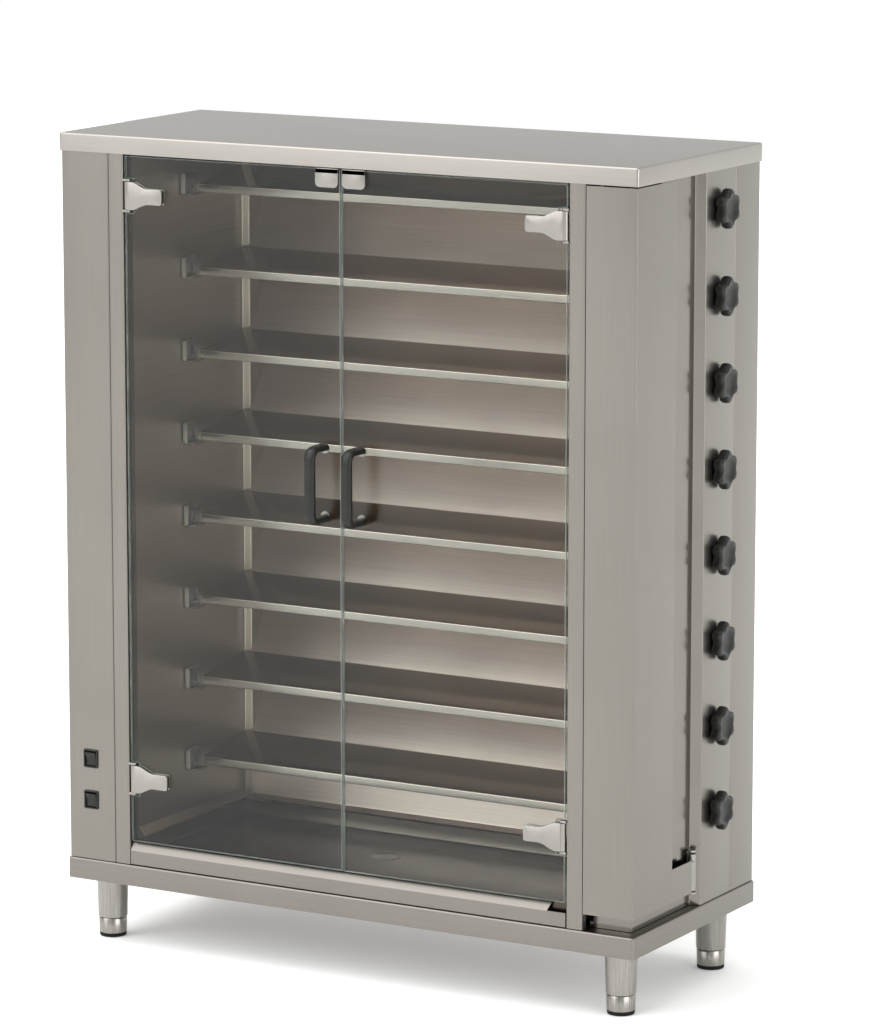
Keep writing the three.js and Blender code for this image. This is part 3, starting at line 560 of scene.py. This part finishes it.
def doorPost(side):
    sign = -1 if side == "left" else 1
    low, high = box[f"{side}_post"]
    outer = low[0] if side == "left" else high[0]
    pivot = pivots[side]
    inner = wallX[side]
    reach = lug["radius"] * mm
    line = [(inner, front + fold["jamb"] * mm), (inner, front), (outer, front),
            (outer, front + fold["post"] * mm)]
    parts = [sheetPart(line if sign > 0 else line[::-1], sheet, "z", base, tuckTop, satinUp, bend=2.0 * mm)]
    for z in clampPlaces[side]:
        gap = clampHalf + lug["play"] * mm
        for start in (z - gap - lug["height"] * mm, z + gap):
            stop = start + lug["height"] * mm
            parts.append(rodPart(reach, start, stop, "z", (pivot[0], pivot[1], 0), fittingSteel))
            x0, x1 = sorted((inner, pivot[0]))
            parts.append(boxPart((x0, pivot[1] - reach, start), (x1, pivot[1] + reach, stop), fittingSteel))
        parts.append(rodPart(lug["pin"] * mm, z - gap - 1 * mm, z + gap + 1 * mm, "z",
                             (pivot[0], pivot[1], 0), fittingSteel))
    makePiece(f"{side}DoorPost", parts, "cabinet", [f"{side}_post"])


for side in sides:
    doorPost(side)

coverLow, coverHigh = box["right_cover"]
pin = np.array(hinge["side_cover_hinge"]["pos_m"])
pinFoot = (pin[0], pin[1], 0)
cover = {"depth": 145, "band": 58, "bandGap": 17, "sleeve": 7.5, "bore": 5.6, "pin": 5, "plate": 4,
         "plateEnd": 8}  # mm
coverRear = front + cover["depth"] * mm
bandTop = coverLow[2] + cover["band"] * mm
coverParts = [
    *(sheetPart([(coverLow[0], front), (right, front), (right, rear)], sheet, "z", start, stop, satinUp)
      for rear, start, stop in ((coverRear, bandTop, coverHigh[2]),
                                (pin[1] - cover["bandGap"] * mm, coverLow[2], bandTop))),
    boxPart((right - 4.5 * mm, pin[1] - 37 * mm, coverLow[2] + 4 * mm),
            (right - 1.2 * mm, pin[1] - 2 * mm, bandTop - 4 * mm), fittingSteel),
    lathePart([(cover["bore"] * mm, coverLow[2]), (cover["sleeve"] * mm - 0.6 * mm, coverLow[2]),
               (cover["sleeve"] * mm, coverLow[2] + 0.6 * mm), (cover["sleeve"] * mm, bandTop + 7 * mm),
               (cover["sleeve"] * mm - 1 * mm, bandTop + 8 * mm), (cover["bore"] * mm, bandTop + 8 * mm),
               (cover["bore"] * mm, coverLow[2])], "z", pinFoot, fittingSteel),
]
makePiece("sideCover", coverParts, "side_cover", ["right_cover"])

panelLow = box["control_panel"][0]
strip = {"start": 17, "rise": 8, "end": 128, "channel": 18}  # mm, from the cover's pin
stripStart = pin[1] + strip["start"] * mm
stripEnd = pin[1] + strip["end"] * mm
channelX = right - strip["channel"] * mm
panelParts = [sheetPart([
    (panelLow[0], front + fold["jamb"] * mm), (channelX, front + fold["jamb"] * mm),
    (channelX, stripStart - strip["rise"] * mm), (right, stripStart), (right, stripEnd),
    (right - fold["panel"] * mm, stripEnd),
], sheet, "z", base, tuckTop, satinUp)]
low, high = coverLow[2] - 6 * mm, bandTop + 11 * mm
for z in (low, high):
    plateTop = z + cover["plate"] * mm
    panelParts.append(boxPart((channelX - 1 * mm, pin[1] - 5 * mm, z), (pin[0], pin[1] + 5 * mm, plateTop),
                              fittingSteel))
    panelParts.append(rodPart(cover["plateEnd"] * mm, z, plateTop, "z", pinFoot, fittingSteel))
panelParts.append(rodPart(cover["pin"] * mm, low + 1 * mm, high + 3 * mm, "z", pinFoot, fittingSteel))
panelPiece = makePiece("knobPanel", panelParts, "cabinet", ["control_panel"])

rearSide = box["rear_side_panel"]
makePiece("rearSidePanel", [sheetPart([
    (right - fold["panel"] * mm, rearSide[0][1]), (right, rearSide[0][1]), (right, back),
    (right - fold["rear"] * mm, back),
], sheet, "z", base, tuckTop, satinUp)], "cabinet", ["rear_side_panel"])
print("shell made")

wall = {"drip": 14, "dripRise": 14, "dripAbove": 50}  # mm
spitAxes = [np.array(hinge[f"spit_spin_{i}"]["pos_m"]) for i in range(1, 9)]
ridgeY = box["drip_tray"][1][1] + 1.5 * mm  # the hoods' ridge stands just behind the tray
flangeY = ridgeY + 2 * mm
hood = {"lipDrop": 6, "lip": 15, "rise": 22, "band": 38, "endInset": 18, "sheet": 1.2, "hem": 7,  # mm
        "lean": 0.54}  # run back for each unit of rise
burner = {"radius": 12, "setback": 44, "lift": 20}  # mm, from the ridge


def sideWall(side):
    sign = -1 if side == "left" else 1
    x = wallX[side]
    cheek = x - sign * (hood["endInset"] - 1) * mm
    line = [(x, front + 30.4 * mm), (x, flangeY), (cheek, flangeY), (cheek, back - 6 * mm)]
    parts = [sheetPart(line if sign < 0 else line[::-1], sheet, "z", base, tuckTop, wallSteel, bend=3 * mm)]
    low = deck + wall["dripAbove"] * mm
    high = low + wall["dripRise"] * mm
    drip = [(high, x + sign * 0.8 * mm), (low, x - sign * wall["drip"] * mm)]
    parts.append(sheetPart(drip if sign < 0 else drip[::-1], 1.0 * mm, "y", front + 30.4 * mm,
                           flangeY - 16 * mm, wallSteel))
    for axis in spitAxes:
        if side == "right":
            parts.append(rodPart(6 * mm, x - 20 * mm, x + 1 * mm, "x", (0, axis[1], axis[2]), fittingSteel))
        else:
            rim = x + 0.6 * mm
            parts.append(lathePart([(9 * mm, x), (9 * mm, rim), (14 * mm, rim), (15 * mm, x), (9 * mm, x)],
                                   "x", (0, axis[1], axis[2]), fittingSteel))
    piece = makePiece(f"{side}CavityWall", parts, "cabinet", [f"{side}_wall"])
    if side == "right":
        lift = (hood["rise"] - hood["lipDrop"] + burner["lift"]) * mm
        cutAway(piece, [rodPart((burner["radius"] + 1.5) * mm, cheek - 5 * mm, cheek + 5 * mm, "x",
                                (0, ridgeY + burner["setback"] * mm, axis[2] + lift), wallSteel)
                        for axis in spitAxes])


for side in sides:
    sideWall(side)


def burnerHood(i):
    # one folded sheet: radiant panel, ridge, shelf and lip; the panel is narrower than the shelf
    low, high = box[f"hood_{i}"]
    lipTop = spitAxes[i - 1][2] - hood["lipDrop"] * mm
    ridge = lipTop + hood["rise"] * mm
    t = hood["sheet"] * mm
    band = hood["band"] * mm if i > 1 else 0.6 * mm
    leanTop = high[2] - band
    rear = ridgeY + (leanTop - ridge) * hood["lean"]
    folds = [(rear, leanTop), (ridgeY, ridge), (low[1], lipTop), (low[1], lipTop - hood["lip"] * mm),
             (low[1] + hood["hem"] * mm, lipTop - hood["lip"] * mm)]
    if i > 1:  # the top one has no room for the upright band
        folds.insert(0, (rear, high[2]))
    line, normal = bendLine(folds, 1.6 * mm, 5)
    ring = np.vstack([line, (line + normal * t)[::-1]])
    wide = (wallX["right"] - wallX["left"]) / 2 - 0.5 * mm
    narrow = wide - hood["endInset"] * mm
    width = np.where(ring[:, 1] > ridge + 0.5 * mm, narrow, wide)
    u = np.linspace(-1, 1, 3)[:, None]
    grid = np.stack([midX + u * width[None], np.broadcast_to(ring[:, 0], (3, len(ring))),
                     np.broadcast_to(ring[:, 1], (3, len(ring)))], -1)
    # the hood sheet starts in the lightened steel: painted light on the radiant panel
    piece = makePiece(f"burnerHood{i}", [closedSheet(grid, hoodLitSteel)], "cabinet", [f"hood_{i}"])
    paint(piece, shelfSteel, lambda c, n: (c[:, 2] < ridge) & (n[:, 2] > 0.5))
    # the lip faces get the darker steel: painted shade
    paint(piece, lipShadeSteel, lambda c, n: c[:, 2] <= lipTop - 1.4 * mm)


for i in range(1, 9):
    burnerHood(i)

low, high = box["rear_lower_panel"]
span = (wallX["right"] - wallX["left"]) / 2 - hood["endInset"] * mm
lining = {"step": 40, "bandFoot": 23, "slopeFoot": 63, "toe": 10}  # mm
stepY = ridgeY + lining["step"] * mm
makePiece("rearLowerPanel", [sheetPart([
    (stepY, high[2]), (stepY, high[2] - lining["bandFoot"] * mm),
    (ridgeY, high[2] - lining["slopeFoot"] * mm), (ridgeY, low[2] + 8 * mm),
    (ridgeY - lining["toe"] * mm, low[2] + 1 * mm),
], hood["sheet"] * mm, "x", midX - span, midX + span, hoodLitSteel, bend=3 * mm)], "cabinet",
    ["rear_lower_panel"])

tray = {"lipStart": 27, "lipTop": 41.6, "lipRun": 9, "floor": 14, "setback": 14, "drain": 24, "pipe": 8,
        "lipEnd": 32, "lipCut": 6, "drainLeft": 45.5}  # mm
trayLow, trayHigh = box["drip_tray"]
t = inMetres(tray, *tray)
drainX, drainY = midX - t["drainLeft"], midY
floorZ = deck + t["floor"] + sheet
panY = front + t["setback"]
pan = roundedRectangle((trayHigh[0] - trayLow[0]) / 2, (trayHigh[1] - panY) / 2, 6 * mm, 5)
panMid = ((trayLow[0] + trayHigh[0]) / 2, (trayHigh[1] + panY) / 2)


def lipSlant(ring):
    # the lip's right end leans: it runs further right the higher the outline point lies
    rise = np.clip((ring[:, 1] - deck - t["lipStart"]) / (t["lipTop"] - t["lipStart"]), 0, 1)
    return wallX["right"] - t["lipEnd"] - t["lipCut"] * (1 - rise)


trayParts = [
    # the pan in the darkened steel: painted shade
    stackPart(pan, [(3 * mm, floorZ), (1.5 * mm, floorZ + 3 * mm), (sheet, trayHigh[2]), (0, trayHigh[2]),
                    (0, floorZ), (3 * mm, floorZ - sheet)], panMid, trayShadeSteel),
    sheetPart([(front + 16 * mm, deck + t["lipTop"]), (front + t["lipRun"], deck + t["lipTop"]),
               (front, deck + t["lipStart"]), (front, deck + 2 * mm)], sheet, "x", trayLow[0], lipSlant,
              plinthSteel, bend=3 * mm),
    sheetPart([(front, deck + t["lipStart"]), (front, deck + 2 * mm)], sheet, "x",
              wallX["right"] - t["lipEnd"] - t["lipCut"], trayHigh[0], plinthSteel),
    lathePart([(t["pipe"], deck + 3 * mm), (t["pipe"] + 2 * mm, deck + 3 * mm),
               (t["pipe"] + 2 * mm, floorZ - 7 * mm), (t["drain"] + 2 * mm, floorZ - 1 * mm),
               (t["drain"] + 2 * mm, floorZ + 0.8 * mm), (t["drain"], floorZ + 0.8 * mm),
               (t["pipe"], floorZ - 6 * mm), (t["pipe"], deck + 3 * mm)],
              "z", (drainX, drainY, 0), fittingSteel),
]
makePiece("dripTray", trayParts, "tray", ["drip_tray"])
print("cavity made")

coupling = {"size": 40, "corner": 4, "socket": 16, "depth": 9, "reach": 12, "tongue": 14}  # mm


def spitCoupling(i):
    # rounded square head with a square socket, on a shaft that carries the sprocket
    axis = spitAxes[i - 1]
    centre = (axis[1], axis[2])
    faceX = wallX["left"] + coupling["reach"] * mm
    rootX = wallX["left"] + 1.5 * mm
    half = coupling["size"] / 2 * mm
    edge = 1.6 * mm
    outer = roundedRectangle(half, half, coupling["corner"] * mm, 6)
    hole = coupling["socket"] / 2 * mm
    arc, normal, radius = outer
    angle = np.arctan2((arc + normal * radius)[:, 1], (arc + normal * radius)[:, 0])
    unit = np.stack([np.cos(angle), np.sin(angle)], 1)
    square = unit / np.abs(unit).max(axis=1)[:, None]
    rings = [(arc + normal * (radius - edge), rootX), (arc + normal * radius, rootX + edge),
             (arc + normal * radius, faceX - edge),
             (arc + normal * (radius - 0.5 * edge), faceX - 0.3 * edge),
             (arc + normal * (radius - edge), faceX), (square * (hole + 0.8 * mm), faceX),
             (square * hole, faceX - 0.8 * mm), (square * hole, faceX - coupling["depth"] * mm)]
    flat = np.stack([r for r, _ in rings]) + np.array(centre)
    depth = np.array([d for _, d in rings])[:, None]
    head = closedTube(along("x", flat[..., 0], flat[..., 1], depth), fittingSteel)
    shaftEnd = box[f"spit_drive_{i}"][0][0]
    shaft = rodPart(8 * mm, shaftEnd, rootX + 1 * mm, "x", (0, *centre), fittingSteel)
    sprocketX = shaftEnd + 8 * mm
    teeth = 10
    a = np.linspace(0, 2 * np.pi, teeth * 8, endpoint=False)
    reach = (22 + 2 * np.clip(1.6 * np.cos(teeth * a), -1, 1)) * mm
    outline = np.stack([centre[0] + reach * np.cos(a), centre[1] + reach * np.sin(a)], 1)
    sprocket = platePart(outline, "x", sprocketX - 2.5 * mm, sprocketX + 2.5 * mm, 0.5 * mm, chainLook)
    y0, y1, z0 = axis[1] - half + 4 * mm, axis[1] + half - 4 * mm, axis[2] - half
    bead = 2.6  # mm, the radius of the tongue's rolled end
    tongueEnd = faceX + coupling["tongue"] * mm
    tongue = boxPart((faceX - 1 * mm, y0, z0), (tongueEnd, y1, z0 + 3 * mm), fittingSteel)
    roll = rodPart(bead * mm, y0, y1, "y", (faceX + (coupling["tongue"] - bead) * mm, 0, z0 + bead * mm),
                   fittingSteel)
    makePiece(f"spitCoupling{i}", [head, shaft, sprocket, tongue, roll], f"spit_{i}", [f"spit_drive_{i}"])


for i in range(1, 9):
    spitCoupling(i)

knob = {"lobes": 6, "lobe": 4, "thick": 20, "stem": 4, "hole": 5}  # mm


def starKnob(i):
    # polar surface: radius times (1 + lobes), stepped through a profile from the back to the dished face
    low, high = box[f"knob_{i}"]
    face = high[0]
    backX = face - knob["thick"] * mm
    centre = np.array(hinge[f"knob_turn_{i}"]["pos_m"])
    r, t = (high[2] - low[2]) / 2, knob["thick"] * mm
    # (share of the outline's radius, place along x, how strongly the lobes show)
    profile = [(0.30, backX - 1.5 * mm, 0), (0.34, backX, 0), (0.80, backX + 0.4 * mm, 0.8),
               (0.93, backX + 2.2 * mm, 1), (0.985, backX + 5 * mm, 1), (1.0, backX + t * 0.45, 1),
               (0.99, backX + t * 0.7, 1), (0.955, face - 2.4 * mm, 1), (0.90, face - 0.7 * mm, 0.9),
               (0.83, face, 0.6), (0.74, face - 0.2 * mm, 0.3), (0.66, face - 1.2 * mm, 0.1),
               (0.55, face - 3.4 * mm, 0), (0.36, face - 5.0 * mm, 0), (0.16, face - 5.4 * mm, 0)]
    angle = np.linspace(0, 2 * np.pi, 96, endpoint=False)
    wave = -np.cos(knob["lobes"] * angle)
    wave = np.sign(wave) * np.abs(wave) ** 0.85
    share = np.array([p[0] for p in profile])[:, None]
    x = np.array([p[1] for p in profile])[:, None]
    strength = np.array([p[2] for p in profile])[:, None]
    radius = (r - knob["lobe"] * mm) * share + knob["lobe"] * mm * strength * wave[None]
    grid = np.stack([np.broadcast_to(x, radius.shape), centre[1] + radius * np.cos(angle),
                     centre[2] + radius * np.sin(angle)], -1)
    star = closedTube(grid, blackPhenolic)
    stem = rodPart(knob["stem"] * mm, low[0], backX + 1 * mm, "x", (0, centre[1], centre[2]), fittingSteel)
    makePiece(f"starKnob{i}", [star, stem], f"control_{i}", [f"knob_{i}"], smooth=50)


for i in range(1, 9):
    starKnob(i)
stemHoles = [rodPart(knob["hole"] * mm, right - 6 * mm, right + 4 * mm, "x", (0, c[1], c[2]), satinUp)
             for c in (np.array(hinge[f"knob_turn_{i}"]["pos_m"]) for i in range(1, 9))]
cutAway(panelPiece, stemHoles)
# the channel faces get the darker steel: painted shade in the recess
paint(panelPiece, channelShadeSteel, lambda c, n: (c[:, 1] < stripStart - 2 * mm) & (c[:, 0] < right - 6 * mm)
      & (np.hypot(c[:, 0] - pin[0], c[:, 1] - pin[1]) > 12 * mm))
print("couplings and knobs made")

door = {"handleHalfWidth": 10, "handleHalfDepth": 6, "bend": 16, "notch": 12, "notchRoom": 5.5,
        "boltInset": 9, "boltRadius": 4}  # mm


def doorPane(side):
    # flat pane with polished, chamfered edges and a notch at each hinge
    low, high = box[f"{side}_glass"]
    sign = -1 if side == "left" else 1
    edge, middle = (low[0], high[0]) if side == "left" else (high[0], low[0])
    notchX = pivots[side][0] - sign * door["notch"] * mm
    reach = clampHalf + door["notchRoom"] * mm
    z0, z1 = clampPlaces[side]
    points = [(edge, low[2])]
    for z in (z0, z1):
        points += [(edge, z - reach), (notchX, z - reach), (notchX, z + reach), (edge, z + reach)]
    points += [(edge, high[2]), (middle, high[2]), (middle, low[2])]
    closed = np.array(points + points[:1])
    line, _ = bendLine(np.vstack([(closed[0] + closed[-2]) / 2, closed[:-1], (closed[0] + closed[-2]) / 2]),
                       2.0 * mm, 4)
    outline = anticlockwise(line[:-1][:, ::-1])  # (z, x) for a plate pushed along y
    glassFront, glassBack = low[1], high[1]
    plate = platePart(outline, "y", glassFront, glassBack, 0.8 * mm, edgeGlass)
    piece = makePiece(f"{side}DoorGlass", [plate], f"{side}_door", [f"{side}_glass"],
                      smooth=20)
    halfGlass = (glassBack - glassFront) / 2
    paint(piece, paneGlass, lambda c, n: np.abs(c[:, 1] - glassFront - halfGlass) > halfGlass - 0.01 * mm)


def bowHandle(side):
    # flat-oval bar bent into a bow, with wider feet on the glass
    low, high = box[f"{side}_handle"]
    x = (low[0] + high[0]) / 2
    glassFront = box[f"{side}_glass"][0][1]
    half = (high[2] - low[2]) / 2
    z = (low[2] + high[2]) / 2
    d = door["handleHalfDepth"] * mm
    w = door["handleHalfWidth"] * mm
    reach = low[1] + d
    foot = glassFront - 0.5 * mm
    path = [(foot, -half + d), (reach, -half + d), (reach, half - d), (foot, half - d)]
    flare = lambda line: 1 + 0.28 * np.clip((line[:, 0] - (foot - 14 * mm)) / (14 * mm), 0, 1) ** 2
    parts = [barPart(path, w, d, 2.8, (x, 0, z), blackPhenolic, door["bend"] * mm, flare=flare)]
    glassBack = box[f"{side}_glass"][1][1]
    inset = door["boltInset"] * mm
    head = [(0, 0.5), (9, 0.5), (9, 1.6), (7.5, 2.0), (6.5, 3.6), (0, 4.0)]  # mm, radius and height
    profile = [(radius * mm, glassBack + height * mm) for radius, height in head]
    for bolt in (z - half + inset, z + half - inset):
        parts.append(rodPart(door["boltRadius"] * mm, foot - 3 * mm, glassBack + 2 * mm, "y", (x, 0, bolt),
                             fittingSteel))
        parts.append(lathePart(profile, "y", (x, 0, bolt), fittingSteel))
    makePiece(f"{side}DoorHandle", parts, f"{side}_door", [f"{side}_handle"], smooth=45)


clamp = {"tab": 14, "flat": 13, "neck": 42, "length": 74, "tip": 5, "thick": 4, "bevel": 1.1,
         "bore": 2.9, "sleeve": 6.5, "screws": (24, 58)}  # mm


def clampOutline(sign, pivot, z):
    # half height falls from the hinge end to the tab by a smooth step, and the tip is rounded
    c = inMetres(clamp, "tab", "flat", "neck", "length", "tip")
    d = np.concatenate([np.linspace(1.2 * mm, c["flat"], 3), np.linspace(c["flat"], c["neck"], 14)[1:],
                        [c["length"] - c["tip"]]])
    s = np.clip((d - c["flat"]) / (c["neck"] - c["flat"]), 0, 1)
    h = c["tab"] + (clampHalf - c["tab"]) * (1 - (3 * s ** 2 - 2 * s ** 3) * 0.6 - s * 0.4)
    angle = np.linspace(0, np.pi / 2, 7)[1:]
    d = np.concatenate([[0], d, c["length"] - c["tip"] + c["tip"] * np.sin(angle)])
    h = np.concatenate([[clampHalf - 1.2 * mm], h, c["tab"] - c["tip"] + c["tip"] * np.cos(angle)])
    upper = np.stack([z + h, pivot[0] - sign * d], 1)
    lower = np.stack([z - h, pivot[0] - sign * d], 1)
    return anticlockwise(np.vstack([upper, lower[::-1]]))


def hingeClamp(side, level):
    sign = -1 if side == "left" else 1
    low, high = box[f"{side}_{level}_clamp"]
    z = (low[2] + high[2]) / 2
    pivot = pivots[side]
    outline = clampOutline(sign, pivot, z)
    thick, bore, sleeveRadius = clamp["thick"] * mm, clamp["bore"] * mm, clamp["sleeve"] * mm
    z0, z1 = z - clampHalf + lug["play"] * mm, z + clampHalf - lug["play"] * mm
    x0, x1 = sorted((pivot[0] - sign * 10 * mm, pivot[0]))
    parts = [
        platePart(outline, "y", low[1], low[1] + thick, clamp["bevel"] * mm, fittingSteel),
        platePart(outline, "y", high[1] - thick, high[1], clamp["bevel"] * mm, fittingSteel),
        boxPart((x0, low[1] + 2 * mm, z - clampHalf + 1 * mm), (x1, high[1] - 2 * mm, z + clampHalf - 1 * mm),
                fittingSteel),
        lathePart([(bore, z0), (sleeveRadius, z0), (sleeveRadius, z1), (bore, z1), (bore, z0)], "z",
                  (pivot[0], pivot[1], 0), fittingSteel),
    ]
    screw = [(0, high[1] + 0.2 * mm), (3.4 * mm, high[1] + 0.2 * mm), (4.2 * mm, high[1] - 0.2 * mm),
             (4.2 * mm, high[1] - 1 * mm), (0, high[1] - 1 * mm)]
    for reach in clamp["screws"]:
        parts.append(lathePart(screw, "y", (pivot[0] - sign * reach * mm, 0, z), chainLook, 24))
    name = f"{side}{level.capitalize()}Clamp"
    makePiece(name, parts, f"{side}_door", [f"{side}_{level}_clamp"])


def catchClip(side):
    # bent tab over the top edge of the pane, its corners rounded
    low, high = box[f"{side}_catch"]
    t = 1.5 * mm
    x = (low[0] + high[0]) / 2
    w = (high[0] - low[0]) / 2
    r = 9 * mm
    corner = np.linspace(0, np.pi / 2, 6)
    tab = np.concatenate([
        [[high[2] - 1 * mm, x - w], [high[2] - 1 * mm, x + w]],
        np.stack([low[2] + r - r * np.sin(corner), x + w - r + r * np.cos(corner)], 1),
        np.stack([low[2] + r - r * np.cos(corner), x - w + r - r * np.sin(corner)], 1)])
    roll = sheetPart([(low[1], high[2] - 9 * mm), (low[1], high[2]), (high[1], high[2]),
                      (high[1], high[2] - 16 * mm)][::-1], t, "x", x - w, x + w, fittingSteel, bend=2.2 * mm)
    tabPlate = platePart(tab, "y", low[1], low[1] + t, 0.4 * mm, fittingSteel)
    makePiece(f"{side}DoorCatch", [roll, tabPlate], f"{side}_door", [f"{side}_catch"])


for side in sides:
    doorPane(side)
    bowHandle(side)
    catchClip(side)
    for level in ("lower", "upper"):
        hingeClamp(side, level)
print("doors made")

switch = {"corner": 3, "well": 12, "keyHalfHeight": 12, "keyHalfWidth": 10.8, "tilt": 10}  # mm, degrees


def rockerSwitch(i):
    low, high = box[f"switch_housing_{i}"]
    x, z = (low[0] + high[0]) / 2, (low[2] + high[2]) / 2
    w, h = (high[0] - low[0]) / 2, (high[2] - low[2]) / 2
    ring = roundedRectangle(h, w, switch["corner"] * mm, 5)
    face = low[1]
    bezel = stackPart(ring, [
        (2.4 * mm, high[1]), (2.4 * mm, face + 2.6 * mm), (0, face + 2.5 * mm), (0, face + 1.0 * mm),
        (0.5 * mm, face + 0.25 * mm), (1.2 * mm, face), (2.5 * mm, face + 0.2 * mm),
        (2.9 * mm, face + 0.8 * mm), (2.95 * mm, face + switch["well"] * mm),
    ], (z, x), blackPhenolic, axis="y")
    makePiece(f"switchBezel{i}", [bezel], "cabinet", [f"switch_housing_{i}"], smooth=40)
    # rocker: its face is a shallow hollow between two raised ends, tilted as it rests
    centre = np.array(hinge[f"rocker_tilt_{i}"]["pos_m"])
    v = np.linspace(-1, 1, 17)
    halfZ, halfX = switch["keyHalfHeight"] * mm, switch["keyHalfWidth"] * mm
    faceY = -2.2 * mm - 1.6 * mm * v ** 2
    outline = np.vstack([np.stack([faceY, v * halfZ], 1),
                         [[3 * mm, halfZ], [6 * mm, 2 * mm], [6 * mm, -2 * mm], [3 * mm, -halfZ]]])
    tilt = math.radians(switch["tilt"])
    turn = np.array([[math.cos(tilt), -math.sin(tilt)], [math.sin(tilt), math.cos(tilt)]])
    outline = outline @ turn.T + centre[1:]
    key = platePart(outline, "x", centre[0] - halfX, centre[0] + halfX, 0.5 * mm, blackPhenolic)
    makePiece(f"rockerKey{i}", [key], f"rocker_key_{i}", [f"rocker_{i}"], smooth=40)


for i in (1, 2):
    rockerSwitch(i)

kept = {"rear_panel": satinUp, "cable_gland": blackPhenolic, "burner_rack": brassLook, "gearmotor": castLook,
        "motor_sprocket": chainLook, "drive_chain": chainLook}
for name, material in kept.items():
    node = frame["nodes"][name]
    node.data.materials.clear()
    node.data.materials.append(material)
print("switches and carried pieces done")

studio = {"azimuth": 29.85, "elevation": 10.27, "distance": 9.026, "lens": 177.4,
          "aim": (0.0, 0.102, 0.790), "floor": "#fbfbfa", "lift": 0.17}

floorMaterial, tree = newMaterial("paleFloor")
shader = addNode(tree, "ShaderNodeBsdfPrincipled", {"Base Color": linear(studio["floor"]), "Roughness": 0.7,
                                                    "Specular IOR Level": 0.2, "Emission Color": (1, 1, 1, 1),
                                                    "Emission Strength": studio["lift"]})
finishMaterial(tree, shader.outputs[0])
u = np.linspace(-12, 12, 3)
gx, gy = np.meshgrid(u, u)
floorMesh = bpy.data.meshes.new("studioFloor")
floorMesh.from_pydata(np.stack([gx.ravel(), gy.ravel(), np.zeros(9)], 1).tolist(), [],
                      gridFaces(3, 3).tolist())
floorMesh.materials.append(floorMaterial)
floor = bpy.data.objects.new("studioFloor", floorMesh)
scene.collection.objects.link(floor)

# white studio: an even room plus soft boxes, each a smooth patch of sky round one direction
room = {"base": 0.68, "boxes": [  # direction, inner and outer cosine, strength
    ((-0.15, -0.1, 1.0), 0.93, 0.60, 1.1),
    ((0.93, -0.30, 0.12), 0.975, 0.90, 4.0),
    ((-0.49, -0.18, 0.85), 0.985, 0.95, 2.0),
    ((-0.49, -0.62, 0.66), 0.97, 0.80, 1.0),
    ((-0.47, -0.82, 0.33), 0.975, 0.88, 2.0),
    ((-0.50, 0.85, 0.25), 0.95, 0.75, 0.1),
    ((0.50, 0.85, 0.12), 0.95, 0.75, 0.5),
    ((-0.97, -0.10, 0.05), 0.98, 0.86, -0.4),
]}
world = bpy.data.worlds.new("studio")
world.use_nodes = True
worldTree = world.node_tree
worldTree.nodes.clear()
toward = addNode(worldTree, "ShaderNodeTexCoord").outputs["Generated"]
total = None
for direction, inner, outer, strength in room["boxes"]:
    unit = np.array(direction) / np.linalg.norm(direction)
    cosine = addNode(worldTree, "ShaderNodeVectorMath", {"operation": "DOT_PRODUCT", 1: tuple(unit)},
                     {0: toward}).outputs["Value"]
    patch = addNode(worldTree, "ShaderNodeMapRange",
                    {"interpolation_type": "SMOOTHSTEP", 1: outer, 2: inner, 3: 0.0, 4: strength},
                    {0: cosine}).outputs[0]
    links = {0: patch} if total is None else {0: patch, 1: total}
    total = addNode(worldTree, "ShaderNodeMath", {"operation": "ADD", 1: room["base"]}, links).outputs[0]
sky = addNode(worldTree, "ShaderNodeBackground", {"Color": (1, 1, 1, 1)}, {"Strength": total})
plain = addNode(worldTree, "ShaderNodeBackground", {"Color": (1, 1, 1, 1), "Strength": 1.0})
seen = addNode(worldTree, "ShaderNodeLightPath").outputs["Is Camera Ray"]
backdrop = addNode(worldTree, "ShaderNodeMixShader", links={0: seen, 1: sky.outputs[0], 2: plain.outputs[0]})
addNode(worldTree, "ShaderNodeOutputWorld", links={"Surface": backdrop.outputs[0]})
scene.world = world

azimuth, elevation = math.radians(studio["azimuth"]), math.radians(studio["elevation"])
aim = np.array(studio["aim"])
away = np.array([math.sin(azimuth) * math.cos(elevation), -math.cos(azimuth) * math.cos(elevation),
                 math.sin(elevation)])
cameraData = bpy.data.cameras.new("camera")
cameraData.lens = studio["lens"]
cameraData.sensor_width = 36
camera = bpy.data.objects.new("camera", cameraData)
camera.location = aim + away * studio["distance"]
camera.rotation_euler = (math.pi / 2 - elevation, 0, azimuth)
cameraData.clip_end = 60
scene.collection.objects.link(camera)
scene.camera = camera
scene.view_settings.view_transform = "Standard"
print("studio ready")
